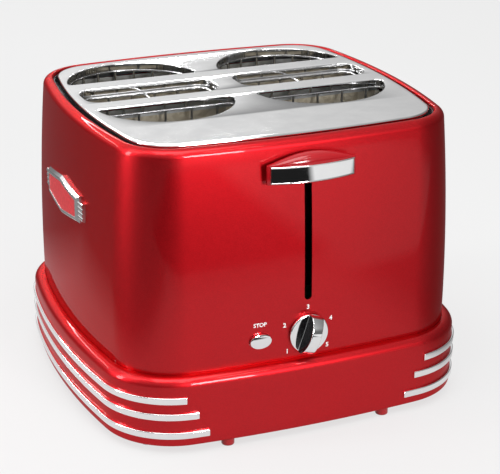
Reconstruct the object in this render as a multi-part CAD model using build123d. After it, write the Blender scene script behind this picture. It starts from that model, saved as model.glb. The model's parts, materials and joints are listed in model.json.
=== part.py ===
from build123d import *
import os
from math import asin, atan2, cos, degrees, hypot, radians, sin, sqrt

# Hot dog toaster, in millimetres.
# +X is to the right, +Y to the rear and +Z up; the origin is on the bench under the middle of the body.
# A reach is a distance outward from the edge of the top plate, level with the bench.

# Plan of the top plate: four shallow arcs joined by four corner arcs
plate_half_width = 118.8
plate_half_depth = 114.0
front_arc_radius = 930.0
side_arc_radius = 511.0
corner_radius = 30.4

# Levels
foot_height = 5.3
skirt_top = 56.1
plate_top = 215.3

# Body shell
shell_wall = 1.2
crown_level = 85.3
crown_reach = 16.5
rim_drop = 0.8
rim_draw = 5.3
rim_gap = 3.6
rim_round = 6.0
shell_seat_depth = 8.3
shell_flange_width = 6.0
slot_width = 5.5
slot_spare = 10.6
shaft_hole_radius = 3.6

# Top plate and the ring under its edge
plate_sheet = 1.0
plate_hem_depth = 8.3
plate_hem_round = 1.3
plate_hem_land = 3.0
collar_depth = 5.0
opening_edge_round = 0.6
ring_depth = 3.0
ring_inset = 2.0
ring_gap = 0.3
ring_upstand_sheet = 1.0
ring_upstand_gap = 0.1
ring_upstand_drop = 2.5

# Openings, in two groups left and right, each the same front and back of its middle
group_x = 60.2
group_y = 22.0
bun_arc_radius = 51.5
bun_arc_shift = 29.9
bun_flat_shift = 35.2
bun_corner_radius = 4.0
dog_slot_length = 102.2
dog_slot_width = 34.4
dog_slot_corner = 11.5

# Base skirt
skirt_wall = 2.2
skirt_foot_reach = 23.8
skirt_head_reach = 24.4
skirt_shoulder = 6.4
skirt_edge_round = 1.2
skirt_gap = 0.25
ledge_sheet = 2.0
ledge_reach = 7.6
flange_sheet = 2.0
flange_reach = 14.0

# Base cover, feet and screws
cover_sheet = 1.0
cover_gap = 0.4
vent_length = 34.0
vent_width = 3.0
vent_pitch = 9.0
vent_count = 7
vent_x = 84.0
vent_y = 40.0
foot_radius = 4.6
foot_round = 1.0
foot_x = 60.0
foot_reach = 18.6
screw_radius = 1.9
screw_clearance = 0.1
screw_head_radius = 3.6
screw_head_height = 1.5
screw_length = 7.0
screw_reach = 17.6

# Trim strips, from the top one to the bottom one
strip_levels = [40.6, 28.4, 14.1]
strip_ends = [91.2, 83.0, 75.2]
strip_height = 5.0
strip_depth = 1.7
strip_round = 0.8

# Badges
badge_level = 151.3
badge_half_length = 34.5
badge_half_height = 12.6
badge_end_half_height = 8.1
badge_stand = 3.4
badge_bevel = 2.0
badge_rim = 2.2
badge_pocket = 1.6
badge_insert_sheet = 1.1
wing_length = 8.0
wing_half_height = 6.6
wing_stand = 2.6
flute_count = 4
flute_width = 1.7
flute_depth = 1.3

# Heat chamber
sheet = 0.8
chamber_half_width = 115.0
chamber_front = 65.3
chamber_rear = 108.8
chamber_cut = 13.7
chute_level = 24.0
chute_rise = 6.0
chute_sheet = 1.0
chute_opening_x = 66.0
chute_border = 3.5

# Wire guards round the bun spaces
guard_wire_radius = 1.0
guard_foot_level = 32.0
guard_arc_wires = 9
guard_arc_sweep = 130.0
guard_flat_wires = 5
guard_flat_pitch = 20.0

# Heaters
heater_shift = 26.2
card_sheet = 1.0
card_inner_x = 11.0
card_outer_x = 112.0
card_foot_level = 42.0
rail_depth = 9.3
rail_width = 6.0
rail_groove = 5.0
rail_clearance = 0.1
ribbon_rows = 9
ribbon_width = 2.4
ribbon_sheet = 0.4
ribbon_margin = 5.0
ribbon_low_margin = 12.0
ribbon_high_margin = 16.0

# Carriage
rack_level = 116.0
rack_sheet = 1.2
rack_gap = 3.0
rack_slot_width = 5.0
rack_slot_pitch = 15.0
rack_slot_count = 5
rack_slot_margin = 7.0
rack_tab_near = 3.5
rack_tab_width = 8.0
spine_width = 8.0
spine_depth = 8.8
spine_rear = 104.0
rest_width = 20.0
rest_half_length = 110.0
boss_radius = 6.0
boss_height = 18.0
rod_radius = 2.5
rod_clearance = 0.08
front_rod_y = 86.0
rear_rod_y = 97.0
rod_foot_half_width = 8.0
rod_foot_sheet = 2.0
rod_foot_reach = 17.0
lever_travel = 80.0

# Lift springs and the bracket that holds their upper ends
spring_x = 11.5
spring_radius = 3.6
spring_wire_radius = 0.55
spring_turns = 18
yoke_half_length = 15.0
yoke_width = 7.0
yoke_sheet = 2.4
bracket_level = 198.0
bracket_sheet = 2.0
bracket_half_width = 17.0
bracket_margin = 8.0

# Lever
arm_thickness = 3.0
arm_level = 189.7
arm_height = 10.0
column_depth = 8.0
column_rear = 96.0
handle_reach = 17.2
handle_half_width = 32.5
handle_foot_level = 187.4
handle_front_height = 13.3
hood_rise = 6.5
face_bow_radius = 95.5
face_front_reach = 26.0
face_sheet = 1.4
face_half_width = 30.6
face_margin = 0.7

# Hot dog cages
cage_gap = 1.6
cage_wire_radius = 1.2
cage_bar_radius = 1.0
cage_top_drop = 6.2
cage_side_wires = 4
cage_floor_wires = 5
cage_wire_pitch = 18.0
cage_cross_levels = 3

# Dial: knob, shaft, potentiometer and board
dial_level = 74.4
dial_turn = 18.0
knob_gap = 0.5
knob_radius = 14.7
knob_flange = 1.6
knob_flange_round = 0.6
grip_width = 9.4
grip_head_width = 7.6
grip_edge_round = 0.6
shaft_radius = 3.0
shaft_clearance = 0.06
shaft_seat = 8.0
shaft_end_gap = 1.0
pot_width = 16.0
pot_depth = 8.0
pot_bush_radius = 4.6
pot_bush_length = 5.0
board_front = 111.0
board_sheet = 1.6
board_left = 50.0
board_right = 26.0
board_low = 26.0
board_high = 100.0
bracket_foot_depth = 9.0
chip_width = 9.0
chip_height = 14.0
chip_depth = 2.6
chip_x = 22.0
chip_level = 40.0

# Stop button and its switch
stop_x = 35.6
stop_level = 73.7
stop_half_length = 7.9
stop_half_height = 5.3
stop_dome_radius = 14.0
stop_stand = 3.4
stop_travel = 2.5
stop_hole_gap = 0.25
stop_collar = 1.4
stop_collar_sheet = 1.4
stop_collar_gap = 0.6
stop_stem_radius = 2.0
stop_stem_clearance = 0.1
stop_stem_entry = 1.2
switch_width = 12.0
switch_depth = 5.5
switch_bore_depth = 4.4

# Latch magnet
magnet_x = 24.0
magnet_y = 73.0
magnet_core_width = 16.0
magnet_core_depth = 10.0
magnet_gap = 0.4
coil_margin = 2.6
coil_clearance = 0.15
coil_low_gap = 3.0
coil_high_gap = 2.4
armature_sheet = 2.0
armature_half_width = 9.0
armature_depth = 11.0

# Drip tray
tray_half_width = 69.0
tray_gap = 0.3
tray_height = 12.8
tray_sheet = 1.0
tray_front = 58.0
tray_window_gap = 1.6
panel_gap = 0.6
pull_width = 46.0
pull_height = 3.0
pull_reach = 3.6

# Cord gland and terminal block
gland_x = 60.0
gland_level = 38.0
gland_bore_radius = 3.6
gland_wall = 1.6
gland_nose_wall = 1.0
gland_flange_radius = 8.0
gland_flange_sheet = 2.0
gland_nose_end = 147.3
gland_hole_clearance = 0.1
gland_nut_radius = 7.6
gland_nut_height = 4.0
terminal_x = 84.0
terminal_y = 117.0
terminal_width = 18.0
terminal_depth = 10.0
terminal_height = 12.0
terminal_post_radius = 2.2
terminal_post_height = 3.0

# One overrun for every cut
overrun = 2.0

# Levels and places that follow from the sizes above
rim_top = plate_top - rim_drop
rim_level = rim_top - rim_round
rim_reach = crown_reach - rim_draw - rim_round
crown_radius = rim_round + ((rim_level - crown_level) ** 2 + rim_draw ** 2) / (2 * rim_draw)
ring_top = plate_top - plate_hem_depth
ring_foot = ring_top - ring_depth
plate_underside = plate_top - plate_sheet
shell_foot = skirt_top - shell_seat_depth
cover_foot = foot_height + flange_sheet
cover_top = cover_foot + cover_sheet
arm_top = arm_level + arm_height
slot_foot = arm_level - lever_travel - slot_spare
slot_head = arm_top + slot_spare / 4
spine_top = rack_level - rack_sheet
spine_foot = spine_top - spine_depth
handle_back = plate_half_depth + handle_reach
axis_up = (0, 0, 1)


# Small helpers

def block(x0, x1, y0, y1, z0, z1):
    """Box between two corners."""
    middle = Pos((x0 + x1) / 2, (y0 + y1) / 2, (z0 + z1) / 2)
    return middle * Box(abs(x1 - x0), abs(y1 - y0), abs(z1 - z0))


def upright(radius, x, y, z0, z1):
    """Round bar along Z."""
    return Pos(x, y, (z0 + z1) / 2) * Cylinder(radius, z1 - z0)


def fore_and_aft(radius, x, z, y0, y1):
    """Round bar along Y."""
    return Pos(x, (y0 + y1) / 2, z) * Rot(90, 0, 0) * Cylinder(radius, y1 - y0)


def closed(points):
    """Flat face inside straight lines through the points."""
    return make_face(Polyline(*points, close=True))


def raised(face, z0, z1):
    """Level face lifted to z0 and thickened up to z1."""
    return extrude(Pos(0, 0, z0) * face, amount=z1 - z0, dir=axis_up)


def save(name, *solids):
    """Write one node, which holds one or more separate solids."""
    shape = solids[0] if len(solids) == 1 else Compound(children=list(solids))
    export_step(shape, f"parts/{name}.step")


# Plan of the body

def plan_arcs():
    """The eight arcs of the plate's edge: centre x, centre y, radius, start angle, swept angle."""
    rear = (0.0, plate_half_depth - front_arc_radius)
    side = (plate_half_width - side_arc_radius, 0.0)
    far = front_arc_radius - corner_radius
    near = side_arc_radius - corner_radius
    apart = hypot(side[0] - rear[0], side[1] - rear[1])
    along = (far ** 2 - near ** 2 + apart ** 2) / (2 * apart)
    off = sqrt(far ** 2 - along ** 2)
    ex, ey = (side[0] - rear[0]) / apart, (side[1] - rear[1]) / apart
    choices = [(rear[0] + along * ex - s * off * ey, rear[1] + along * ey + s * off * ex) for s in (1, -1)]
    px, py = max(choices, key=sum)
    steep = degrees(atan2(py - rear[1], px - rear[0]))
    shallow = degrees(atan2(py - side[1], px - side[0]))
    corner = steep - shallow
    return [
        (side[0], 0.0, side_arc_radius, -shallow, 2 * shallow),
        (px, py, corner_radius, shallow, corner),
        (0.0, rear[1], front_arc_radius, steep, 180 - 2 * steep),
        (-px, py, corner_radius, 180 - steep, corner),
        (-side[0], 0.0, side_arc_radius, 180 - shallow, 2 * shallow),
        (-px, -py, corner_radius, 180 + shallow, corner),
        (0.0, -rear[1], front_arc_radius, 180 + steep, 180 - 2 * steep),
        (px, -py, corner_radius, 360 - steep, corner),
    ]


def plan_face(reach):
    """Level face inside the plate's outline moved outward by reach."""
    return make_face([CenterArc((x, y), r + reach, a, s) for x, y, r, a, s in plan_arcs()])


def ring(section):
    """Solid that follows the plate's outline; the section's x is the reach and its y the height."""
    pieces = []
    for x, y, radius, start, sweep in plan_arcs():
        outward = (cos(radians(start)), sin(radians(start)), 0)
        plane = Plane(origin=(x, y, 0), x_dir=outward, z_dir=(outward[1], -outward[0], 0))
        face = plane.location * Pos(radius, 0, 0) * section
        pieces.append(revolve(face, axis=Axis((x, y, 0), axis_up), revolution_arc=sweep))
    return pieces[0].fuse(*pieces[1:])


def front_edge(x, reach):
    """Distance from the middle to the front or rear edge of the outline, at a distance x from the middle."""
    return plate_half_depth - front_arc_radius + sqrt((front_arc_radius + reach) ** 2 - x ** 2)


def wall_reach(level):
    """Reach of the body wall's outer face."""
    return crown_reach - crown_radius + sqrt(crown_radius ** 2 - (level - crown_level) ** 2)


def skirt_reach(level):
    """Reach of the skirt's outer face, a straight line from its foot to its shoulder."""
    low, high = foot_height + skirt_edge_round, skirt_top - skirt_shoulder
    share = (level - low) / (high - low)
    return skirt_foot_reach + share * (skirt_head_reach - skirt_foot_reach)


# Body shell

def crown_point(wall_inset):
    """Point where the rim's round leaves the wall, on the outer face or inset from it."""
    middle = crown_reach - crown_radius
    share = (crown_radius - wall_inset) / hypot(rim_reach - middle, rim_level - crown_level)
    return middle + (rim_reach - middle) * share, crown_level + (rim_level - crown_level) * share


def arc_about(centre, start, end):
    """Arc from start to end round a centre, the short way."""
    a0 = atan2(start[1] - centre[1], start[0] - centre[0])
    a1 = atan2(end[1] - centre[1], end[0] - centre[0])
    radius = hypot(start[0] - centre[0], start[1] - centre[1])
    a = (a0 + a1) / 2
    return ThreePointArc(start, (centre[0] + radius * cos(a), centre[1] + radius * sin(a)), end)


def shell_section():
    """Wall, rolled rim, inner lip and the flange that sits on the skirt's ledge."""
    centre = (rim_reach, rim_level)
    crown = (crown_reach - crown_radius, crown_level)
    outer_foot = (wall_reach(shell_foot), shell_foot)
    outer_head, inner_head = crown_point(0), crown_point(shell_wall)
    top = (centre[0], rim_top)
    lip_round = centre[0] - rim_gap
    lip_top = (rim_gap, rim_top - lip_round)
    lip_inside = rim_gap + shell_wall
    inner_radius = rim_round - shell_wall
    turn = (lip_inside, centre[1] + sqrt(inner_radius ** 2 - (lip_inside - centre[0]) ** 2))
    flange_top = shell_foot + shell_wall
    flange_edge = outer_foot[0] - shell_wall - shell_flange_width
    inner_crown = hypot(inner_head[0] - crown[0], inner_head[1] - crown[1])
    foot_rise = asin((flange_top - crown_level) / inner_crown)
    inner_foot = (crown[0] + inner_crown * cos(foot_rise), flange_top)
    return make_face([
        arc_about(crown, outer_foot, outer_head),
        arc_about(centre, outer_head, top),
        arc_about((top[0], lip_top[1]), top, lip_top),
        Line(lip_top, (rim_gap, ring_top)),
        Line((rim_gap, ring_top), (lip_inside, ring_top)),
        Line((lip_inside, ring_top), turn),
        arc_about(centre, turn, inner_head),
        arc_about(crown, inner_head, inner_foot),
        Line(inner_foot, (flange_edge, flange_top)),
        Line((flange_edge, flange_top), (flange_edge, shell_foot)),
        Line((flange_edge, shell_foot), outer_foot),
    ])


def stop_oval(margin):
    """Upright oval of the stop button, in the XZ plane at the button's place."""
    oval = Ellipse(stop_half_length + margin, stop_half_height + margin)
    return Plane(origin=(-stop_x, 0, stop_level), x_dir=(1, 0, 0), z_dir=(0, -1, 0)).location * oval


def body_shell():
    shell = ring(shell_section())
    front = plate_half_depth + crown_reach
    near = plate_half_depth
    half_slot = slot_width / 2
    slot = block(-half_slot, half_slot, -front - overrun, -near, slot_foot + half_slot, slot_head - half_slot)
    for level in (slot_foot + half_slot, slot_head - half_slot):
        slot += fore_and_aft(half_slot, 0, level, -front - overrun, -near)
    shaft = fore_and_aft(shaft_hole_radius, 0, dial_level, -front - overrun, -near)
    depth = front + overrun - near
    button = extrude(Pos(0, -near, 0) * stop_oval(stop_hole_gap), amount=depth, dir=(0, -1, 0))
    shell = shell - slot - shaft - button
    for x, y in corner_places(shell_screw_reach()):
        shell -= upright(screw_radius + screw_clearance, x, y, shell_foot - overrun, shell_foot + overrun)
    return shell


def shell_screw_reach():
    """Middle of the shell's flange."""
    return wall_reach(shell_foot) - shell_wall - shell_flange_width / 2


def corner_places(reach):
    """Four places on the diagonals of the corner arcs."""
    x, y, radius, start, sweep = plan_arcs()[1]
    a = radians(start + sweep / 2)
    dx, dy = x + (radius + reach) * cos(a), y + (radius + reach) * sin(a)
    return [(sx * dx, sy * dy) for sx in (-1, 1) for sy in (-1, 1)]


# Openings

def bun_face(side, facing, inset):
    """Half-round opening, its flat edge towards the middle of its group."""
    radius = bun_arc_radius - inset
    flat = bun_flat_shift + inset
    dip = asin((flat - bun_arc_shift) / radius)
    half = radius * cos(dip)
    arc = CenterArc((0, bun_arc_shift), radius, degrees(dip), 180 - 2 * degrees(dip))
    face = make_face([arc, Line((-half, flat), (half, flat))])
    face = fillet(face.vertices(), radius=bun_corner_radius)
    turn = 0 if facing > 0 else 180
    return Pos(side * group_x, group_y, 0) * Rot(0, 0, turn) * face


def dog_face(side, inset):
    """Oblong opening for one cage."""
    length, width = dog_slot_length - 2 * inset, dog_slot_width - 2 * inset
    return Pos(side * group_x, group_y, 0) * RectangleRounded(length, width, dog_slot_corner - inset)


def opening_faces(inset):
    faces = [bun_face(side, facing, inset) for side in (-1, 1) for facing in (-1, 1)]
    return faces + [dog_face(side, inset) for side in (-1, 1)]


def top_plate():
    """Flat sheet with a rolled hem, and a collar turned down round each opening."""
    hem = plate_hem_round
    bend = (-hem, plate_top - hem)
    section = make_face([
        Line((-plate_hem_land, plate_top), (-hem, plate_top)),
        arc_about(bend, (-hem, plate_top), (0, plate_top - hem)),
        Line((0, plate_top - hem), (0, ring_top)),
        Line((0, ring_top), (-plate_sheet, ring_top)),
        Line((-plate_sheet, ring_top), (-plate_sheet, plate_underside)),
        Line((-plate_sheet, plate_underside), (-plate_hem_land, plate_underside)),
        Line((-plate_hem_land, plate_underside), (-plate_hem_land, plate_top)),
    ])
    plate = ring(section) + raised(plan_face(-plate_hem_land), plate_underside, plate_top)
    for face in opening_faces(-plate_sheet):
        plate += raised(face, plate_top - collar_depth, plate_top)
    for face in opening_faces(0):
        plate -= raised(face, plate_top - collar_depth - overrun, plate_top + overrun)
    top = plate.faces().sort_by(Axis.Z)[-1]
    edges = [edge for wire in top.inner_wires() for edge in wire.edges()]
    return fillet(edges, radius=opening_edge_round)


def insulating_ring():
    """Flat ring under the plate's hem and the shell's lip, with an upstand that lines the lip."""
    outer = wall_reach(ring_top) - shell_wall - ring_gap
    flat = raised(plan_face(outer), ring_foot, ring_top) - raised(
        plan_face(-ring_inset), ring_foot - overrun, ring_top + overrun)
    far = rim_gap - ring_upstand_gap
    near = far - ring_upstand_sheet
    middle, head = (ring_foot + ring_top) / 2, rim_top - ring_upstand_drop
    upstand = raised(plan_face(far), middle, head) - raised(plan_face(near), middle - overrun, head + overrun)
    return flat + upstand


# Base

def skirt_section():
    """Foot flange, wall, rounded shoulder, lip round the shell, and the ledge the shell sits on."""
    head = skirt_top - skirt_shoulder
    shoulder = (skirt_head_reach - skirt_shoulder, head)
    edge = skirt_edge_round
    lip = wall_reach(skirt_top) + skirt_gap
    inner_head = skirt_head_reach - skirt_wall
    inner_foot = skirt_foot_reach - skirt_wall
    ledge_foot = shell_foot - ledge_sheet
    corner = (skirt_foot_reach - edge, foot_height + edge)
    return make_face([
        Line((flange_reach, foot_height), (corner[0], foot_height)),
        arc_about(corner, (corner[0], foot_height), (skirt_foot_reach, corner[1])),
        Line((skirt_foot_reach, corner[1]), (skirt_head_reach, head)),
        arc_about(shoulder, (skirt_head_reach, head), (shoulder[0], skirt_top)),
        Line((shoulder[0], skirt_top), (lip, skirt_top)),
        Line((lip, skirt_top), (lip, shell_foot)),
        Line((lip, shell_foot), (ledge_reach, shell_foot)),
        Line((ledge_reach, shell_foot), (ledge_reach, ledge_foot)),
        Line((ledge_reach, ledge_foot), (inner_head, ledge_foot)),
        Line((inner_head, ledge_foot), (inner_foot, cover_foot)),
        Line((inner_foot, cover_foot), (flange_reach, cover_foot)),
        Line((flange_reach, cover_foot), (flange_reach, foot_height)),
    ])


def tray_head():
    return cover_top + tray_gap + tray_height


def tray_window():
    """Opening in the skirt's rear wall for the drip tray."""
    half = tray_half_width + tray_window_gap
    rear = plate_half_depth + skirt_foot_reach
    return block(-half, half, rear - 3 * skirt_wall - overrun, rear + overrun,
                 cover_top, tray_head() + tray_window_gap / 2)


def gland_hole(clearance):
    """Bar through the skirt's rear wall where the gland passes."""
    radius = gland_bore_radius + gland_wall + clearance
    rear = plate_half_depth + skirt_foot_reach
    return fore_and_aft(radius, -gland_x, gland_level, rear - 3 * skirt_wall - overrun, rear + overrun)


def base_skirt():
    skirt = ring(skirt_section()) - tray_window() - gland_hole(gland_hole_clearance)
    hole = screw_radius + screw_clearance
    for x, y in corner_places(screw_reach):
        skirt -= upright(hole, x, y, foot_height - overrun, cover_foot + overrun)
    for x, y in corner_places(shell_screw_reach()):
        skirt -= upright(hole, x, y, shell_foot - ledge_sheet - overrun, shell_foot + overrun / 2)
    return skirt


def base_cover():
    reach = skirt_foot_reach - skirt_wall - cover_gap
    cover = raised(plan_face(reach), cover_foot, cover_top)
    for side in (-1, 1):
        for facing in (-1, 1):
            for n in range(vent_count):
                y = facing * vent_y + (n - (vent_count - 1) / 2) * vent_pitch
                slot = SlotOverall(vent_length, vent_width)
                cover -= Pos(side * vent_x, y, 0) * raised(slot, cover_foot - overrun, cover_top + overrun)
    for x, y in corner_places(screw_reach):
        cover -= upright(screw_radius + screw_clearance, x, y, cover_foot - overrun, cover_top + overrun)
    return cover


def feet():
    y = front_edge(foot_x, foot_reach)
    foot = Pos(0, 0, foot_height / 2) * Cylinder(foot_radius, foot_height)
    foot = fillet(foot.edges().sort_by(Axis.Z)[0], radius=foot_round)
    return [Pos(sx * foot_x, sy * y, 0) * foot for sx in (-1, 1) for sy in (-1, 1)]


def screw(x, y, seat):
    """Screw with its head under the seat and its shank going up."""
    shank = upright(screw_radius, x, y, seat, seat + screw_length)
    return shank + upright(screw_head_radius, x, y, seat - screw_head_height, seat)


def base_screws():
    return [screw(x, y, foot_height) for x, y in corner_places(screw_reach)]


def shell_screws():
    return [screw(x, y, shell_foot - ledge_sheet) for x, y in corner_places(shell_screw_reach())]


# Trim

def trim_strip(index, side):
    """Half-round-edged strip on the skirt, wrapping the corners of one side."""
    level, end = strip_levels[index], strip_ends[index]
    low, high = level - strip_height / 2, level + strip_height / 2
    out_low, out_high = skirt_reach(low) + strip_depth, skirt_reach(high) + strip_depth
    section = make_face([
        Line((skirt_reach(low), low), (out_low - strip_round, low)),
        arc_about((out_low - strip_round, low + strip_round), (out_low - strip_round, low),
                  (out_low, low + strip_round)),
        Line((out_low, low + strip_round), (out_high, high - strip_round)),
        arc_about((out_high - strip_round, high - strip_round), (out_high, high - strip_round),
                  (out_high - strip_round, high)),
        Line((out_high - strip_round, high), (skirt_reach(high), high)),
        Line((skirt_reach(high), high), (skirt_reach(low), low)),
    ])
    reach = plate_half_width + out_low + overrun
    depth = plate_half_depth + out_low + overrun
    keep = block(side * end, side * reach, -depth, depth, low - overrun, high + overrun)
    return ring(section) & keep


# Badges

def body_form(low, high):
    """Filled band of the body's outer form, for cutting seats to its curve."""
    low_reach, high_reach = wall_reach(low), wall_reach(high)
    crown = (crown_reach - crown_radius, crown_level)
    section = make_face([
        Line((0, low), (low_reach, low)),
        arc_about(crown, (low_reach, low), (high_reach, high)),
        Line((high_reach, high), (0, high)),
        Line((0, high), (0, low)),
    ])
    return ring(section)


def badge_outline(grow):
    """Long six-sided outline with peaks in the middle of its top and bottom, grown evenly."""
    slope = atan2(badge_half_height - badge_end_half_height, badge_half_length)
    x = badge_half_length + grow
    peak = badge_half_height + grow / cos(slope)
    end = peak - x * sin(slope) / cos(slope)
    return closed([(-x, -end), (0, -peak), (x, -end), (x, end), (0, peak), (-x, end)])


def badge_plane(reach):
    """Plane beside the body that faces left, at a distance from the middle."""
    return Plane(origin=(-reach, 0, badge_level), x_dir=(0, -1, 0), z_dir=(-1, 0, 0))


def badge_drum(stand):
    """Upright drum whose left face follows the side's bow at a distance from the wall."""
    radius = side_arc_radius + wall_reach(badge_level) + stand
    margin = badge_half_height + badge_bevel + overrun
    return upright(radius, side_arc_radius - plate_half_width, 0, badge_level - margin, badge_level + margin)


def badge_bezel():
    """Bevelled frame with a pocket for the insert and a fluted wing at each end, on the left side."""
    seat = plate_half_width + wall_reach(badge_level)
    front = seat + badge_stand
    back = seat - badge_stand
    shoulder = front - badge_bevel
    lower = extrude(badge_plane(back).location * badge_outline(badge_bevel), amount=shoulder - back)
    bevel = loft([badge_plane(shoulder).location * badge_outline(badge_bevel),
                  badge_plane(front).location * badge_outline(0)])
    bezel = ((lower + bevel) & badge_drum(badge_stand)) + badge_wings()
    pocket = extrude(badge_plane(back).location * badge_outline(-badge_rim), amount=front + overrun - back)
    return bezel - (pocket - badge_drum(badge_stand - badge_pocket)) - badge_seat()


def badge_wings():
    """Bar behind the frame whose fluted ends stick out past it."""
    seat = plate_half_width + wall_reach(badge_level)
    length, half = badge_half_length + badge_bevel + wing_length, wing_half_height
    bar = block(-seat - wing_stand, -seat + badge_stand, -length, length, badge_level - half, badge_level + half)
    wings = bar & badge_drum(wing_stand - flute_depth)
    pitch = 2 * half / flute_count
    ridge = (pitch - flute_width) / 2
    for n in range(flute_count + 1):
        z = badge_level - half + n * pitch
        band = block(-seat - wing_stand, -seat + badge_stand, -length, length,
                     max(z - ridge, badge_level - half), min(z + ridge, badge_level + half))
        wings += band & badge_drum(wing_stand)
    return wings


def badge_seat():
    """Band of the body's form that the badge is cut to."""
    margin = badge_half_height + badge_bevel + overrun
    return body_form(badge_level - margin, badge_level + margin)


def badge_insert():
    """Panel that lies in the frame's pocket."""
    seat = plate_half_width + wall_reach(badge_level)
    panel = extrude(badge_plane(seat - badge_stand).location * badge_outline(-badge_rim), amount=3 * badge_stand)
    floor = badge_stand - badge_pocket
    return (panel & badge_drum(floor + badge_insert_sheet)) - badge_drum(floor)


# Heat chamber

def front_bulkhead():
    """Sheet behind the controls, with a slot for the carriage's spine."""
    half = chamber_half_width - sheet
    wall = block(-half, half, -chamber_front, -chamber_front + sheet, cover_top, ring_foot)
    gap = spine_width / 2 + slot_spare / 5
    low = spine_foot - lever_travel - slot_spare / 5
    return wall - block(-gap, gap, -chamber_front - overrun, -chamber_front + sheet + overrun,
                        low, spine_top + rack_sheet + slot_spare / 3)


def rear_bulkhead():
    """Sheet at the back of the chamber, open below for the drip tray."""
    half = chamber_half_width - chamber_cut
    wall = block(-half, half, chamber_rear - sheet, chamber_rear, cover_top, ring_foot)
    gap = tray_half_width + tray_window_gap
    return wall - block(-gap, gap, chamber_rear - sheet - overrun, chamber_rear + overrun,
                        cover_top - overrun, tray_head() + rod_foot_gap())


def rod_foot_gap():
    """Height left between the tray and what is above it."""
    return (chute_level - rod_foot_sheet - tray_head()) / 2


def side_shield():
    """Right side sheet, bent at the rear corner."""
    w, r, c = chamber_half_width, chamber_rear, chamber_cut
    inner_cut = c - sheet * (2 - sqrt(2))
    face = closed([
        (w, -chamber_front), (w, r - c), (w - c, r), (w - c, r - sheet * sqrt(2)),
        (w - sheet, r - sheet - inner_cut), (w - sheet, -chamber_front)])
    return raised(face, cover_top, ring_foot)


def chamber_face():
    """Level face inside the chamber's sheets."""
    w, f, r = chamber_half_width - sheet, chamber_front - sheet, chamber_rear - sheet
    c = chamber_cut - sheet * (2 - sqrt(2))
    return closed([(w, -f), (w, r - c), (w - c, r), (c - w, r), (-w, r - c), (-w, -f)])


def crumb_chute():
    """Floor of the chamber: two sloping wings that lead crumbs to the tray."""
    w, f, r = chamber_half_width - sheet, chamber_front - sheet, chamber_rear - sheet
    x, low = chute_opening_x, chute_level
    high = low + chute_rise
    chute = block(-x, x, -f, r, low, low + chute_sheet)
    chute -= block(-x, x, -f + chute_border, r - chute_border, low - overrun, low + chute_sheet + overrun)
    for side in (-1, 1):
        points = [(side * x, low), (side * w, high),
                  (side * w, high + chute_sheet), (side * x, low + chute_sheet)]
        wing = Plane(origin=(0, -f, 0), x_dir=(1, 0, 0), z_dir=(0, -1, 0)).location * closed(points)
        chute += extrude(wing, amount=r + f, dir=(0, 1, 0))
    return chute & raised(chamber_face(), low - overrun, high + chute_sheet + overrun)


# Wire guards

def guard_path():
    """Route of the guard's rings, under the middle of the opening's collar, for the right rear opening."""
    inset = -guard_wire_radius
    radius = bun_arc_radius - inset
    flat = bun_flat_shift + inset
    dip = asin((flat - bun_arc_shift) / radius)
    half = radius * cos(dip)
    arc = CenterArc((0, bun_arc_shift), radius, degrees(dip), 180 - 2 * degrees(dip))
    face = make_face([arc, Line((-half, flat), (half, flat))])
    return fillet(face.vertices(), radius=bun_corner_radius).wire(), radius, flat


def wire_ring(wire, radius, level):
    """Round bar bent along a level closed route."""
    path = Pos(0, 0, level) * wire
    start = Plane(origin=path @ 0, z_dir=path % 0)
    return sweep(start.location * Circle(radius), path=path)


def bun_guard(side, facing):
    """Welded wire guard round one bun space."""
    wire, radius, flat = guard_path()
    top = plate_top - collar_depth - guard_wire_radius
    r = guard_wire_radius
    places = []
    for n in range(guard_arc_wires):
        a = radians(90 - guard_arc_sweep / 2 + n * guard_arc_sweep / (guard_arc_wires - 1))
        places.append((radius * cos(a), bun_arc_shift + radius * sin(a)))
    for n in range(guard_flat_wires):
        places.append(((n - (guard_flat_wires - 1) / 2) * guard_flat_pitch, flat))
    guard = wire_ring(wire, r, top).fuse(
        wire_ring(wire, r, guard_foot_level), *[upright(r, x, y, guard_foot_level, top) for x, y in places])
    turn = 0 if facing > 0 else 180
    return Pos(side * group_x, group_y, 0) * Rot(0, 0, turn) * guard


# Heaters

def heater_y(facing):
    return group_y + facing * heater_shift


def heater_rail(facing):
    """Channel under the plate that holds the upper edges of two cards."""
    y, low = heater_y(facing), plate_underside - rail_depth
    half = card_sheet / 2 + rail_clearance
    rail = block(-card_outer_x, card_outer_x, y - rail_width / 2, y + rail_width / 2, low, plate_underside)
    return rail - block(-card_outer_x - overrun, card_outer_x + overrun, y - half, y + half,
                        low - overrun, low + rail_groove)


def card_head():
    return plate_underside - rail_depth + rail_groove


def heater_card(side, facing):
    y = heater_y(facing)
    return block(side * card_inner_x, side * card_outer_x, y - card_sheet / 2, y + card_sheet / 2,
                 card_foot_level, card_head())


def ribbon(side, facing, face):
    """Flat resistance ribbon that runs to and fro over one face of a card."""
    low = card_foot_level + ribbon_low_margin
    high = card_head() - ribbon_high_margin
    pitch = (high - low) / (ribbon_rows - 1)
    near, far = card_inner_x + ribbon_margin, card_outer_x - ribbon_margin
    y = heater_y(facing) + face * card_sheet / 2
    y0, y1 = min(y, y + face * ribbon_sheet), max(y, y + face * ribbon_sheet)
    half = ribbon_width / 2
    strips = []
    for n in range(ribbon_rows):
        z = low + n * pitch
        strips.append(block(side * near, side * far, y0, y1, z - half, z + half))
        if n:
            end = side * (far if n % 2 else near)
            back = end - side * ribbon_width * (1 if n % 2 else -1)
            strips.append(block(end, back, y0, y1, z - pitch, z))
    return strips[0].fuse(*strips[1:])


# Guide rods

def guide_rods():
    front = upright(rod_radius, 0, -front_rod_y, cover_top, plate_underside)
    rear = upright(rod_radius, 0, rear_rod_y, chute_level, plate_underside)
    return [front, rear]


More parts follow.
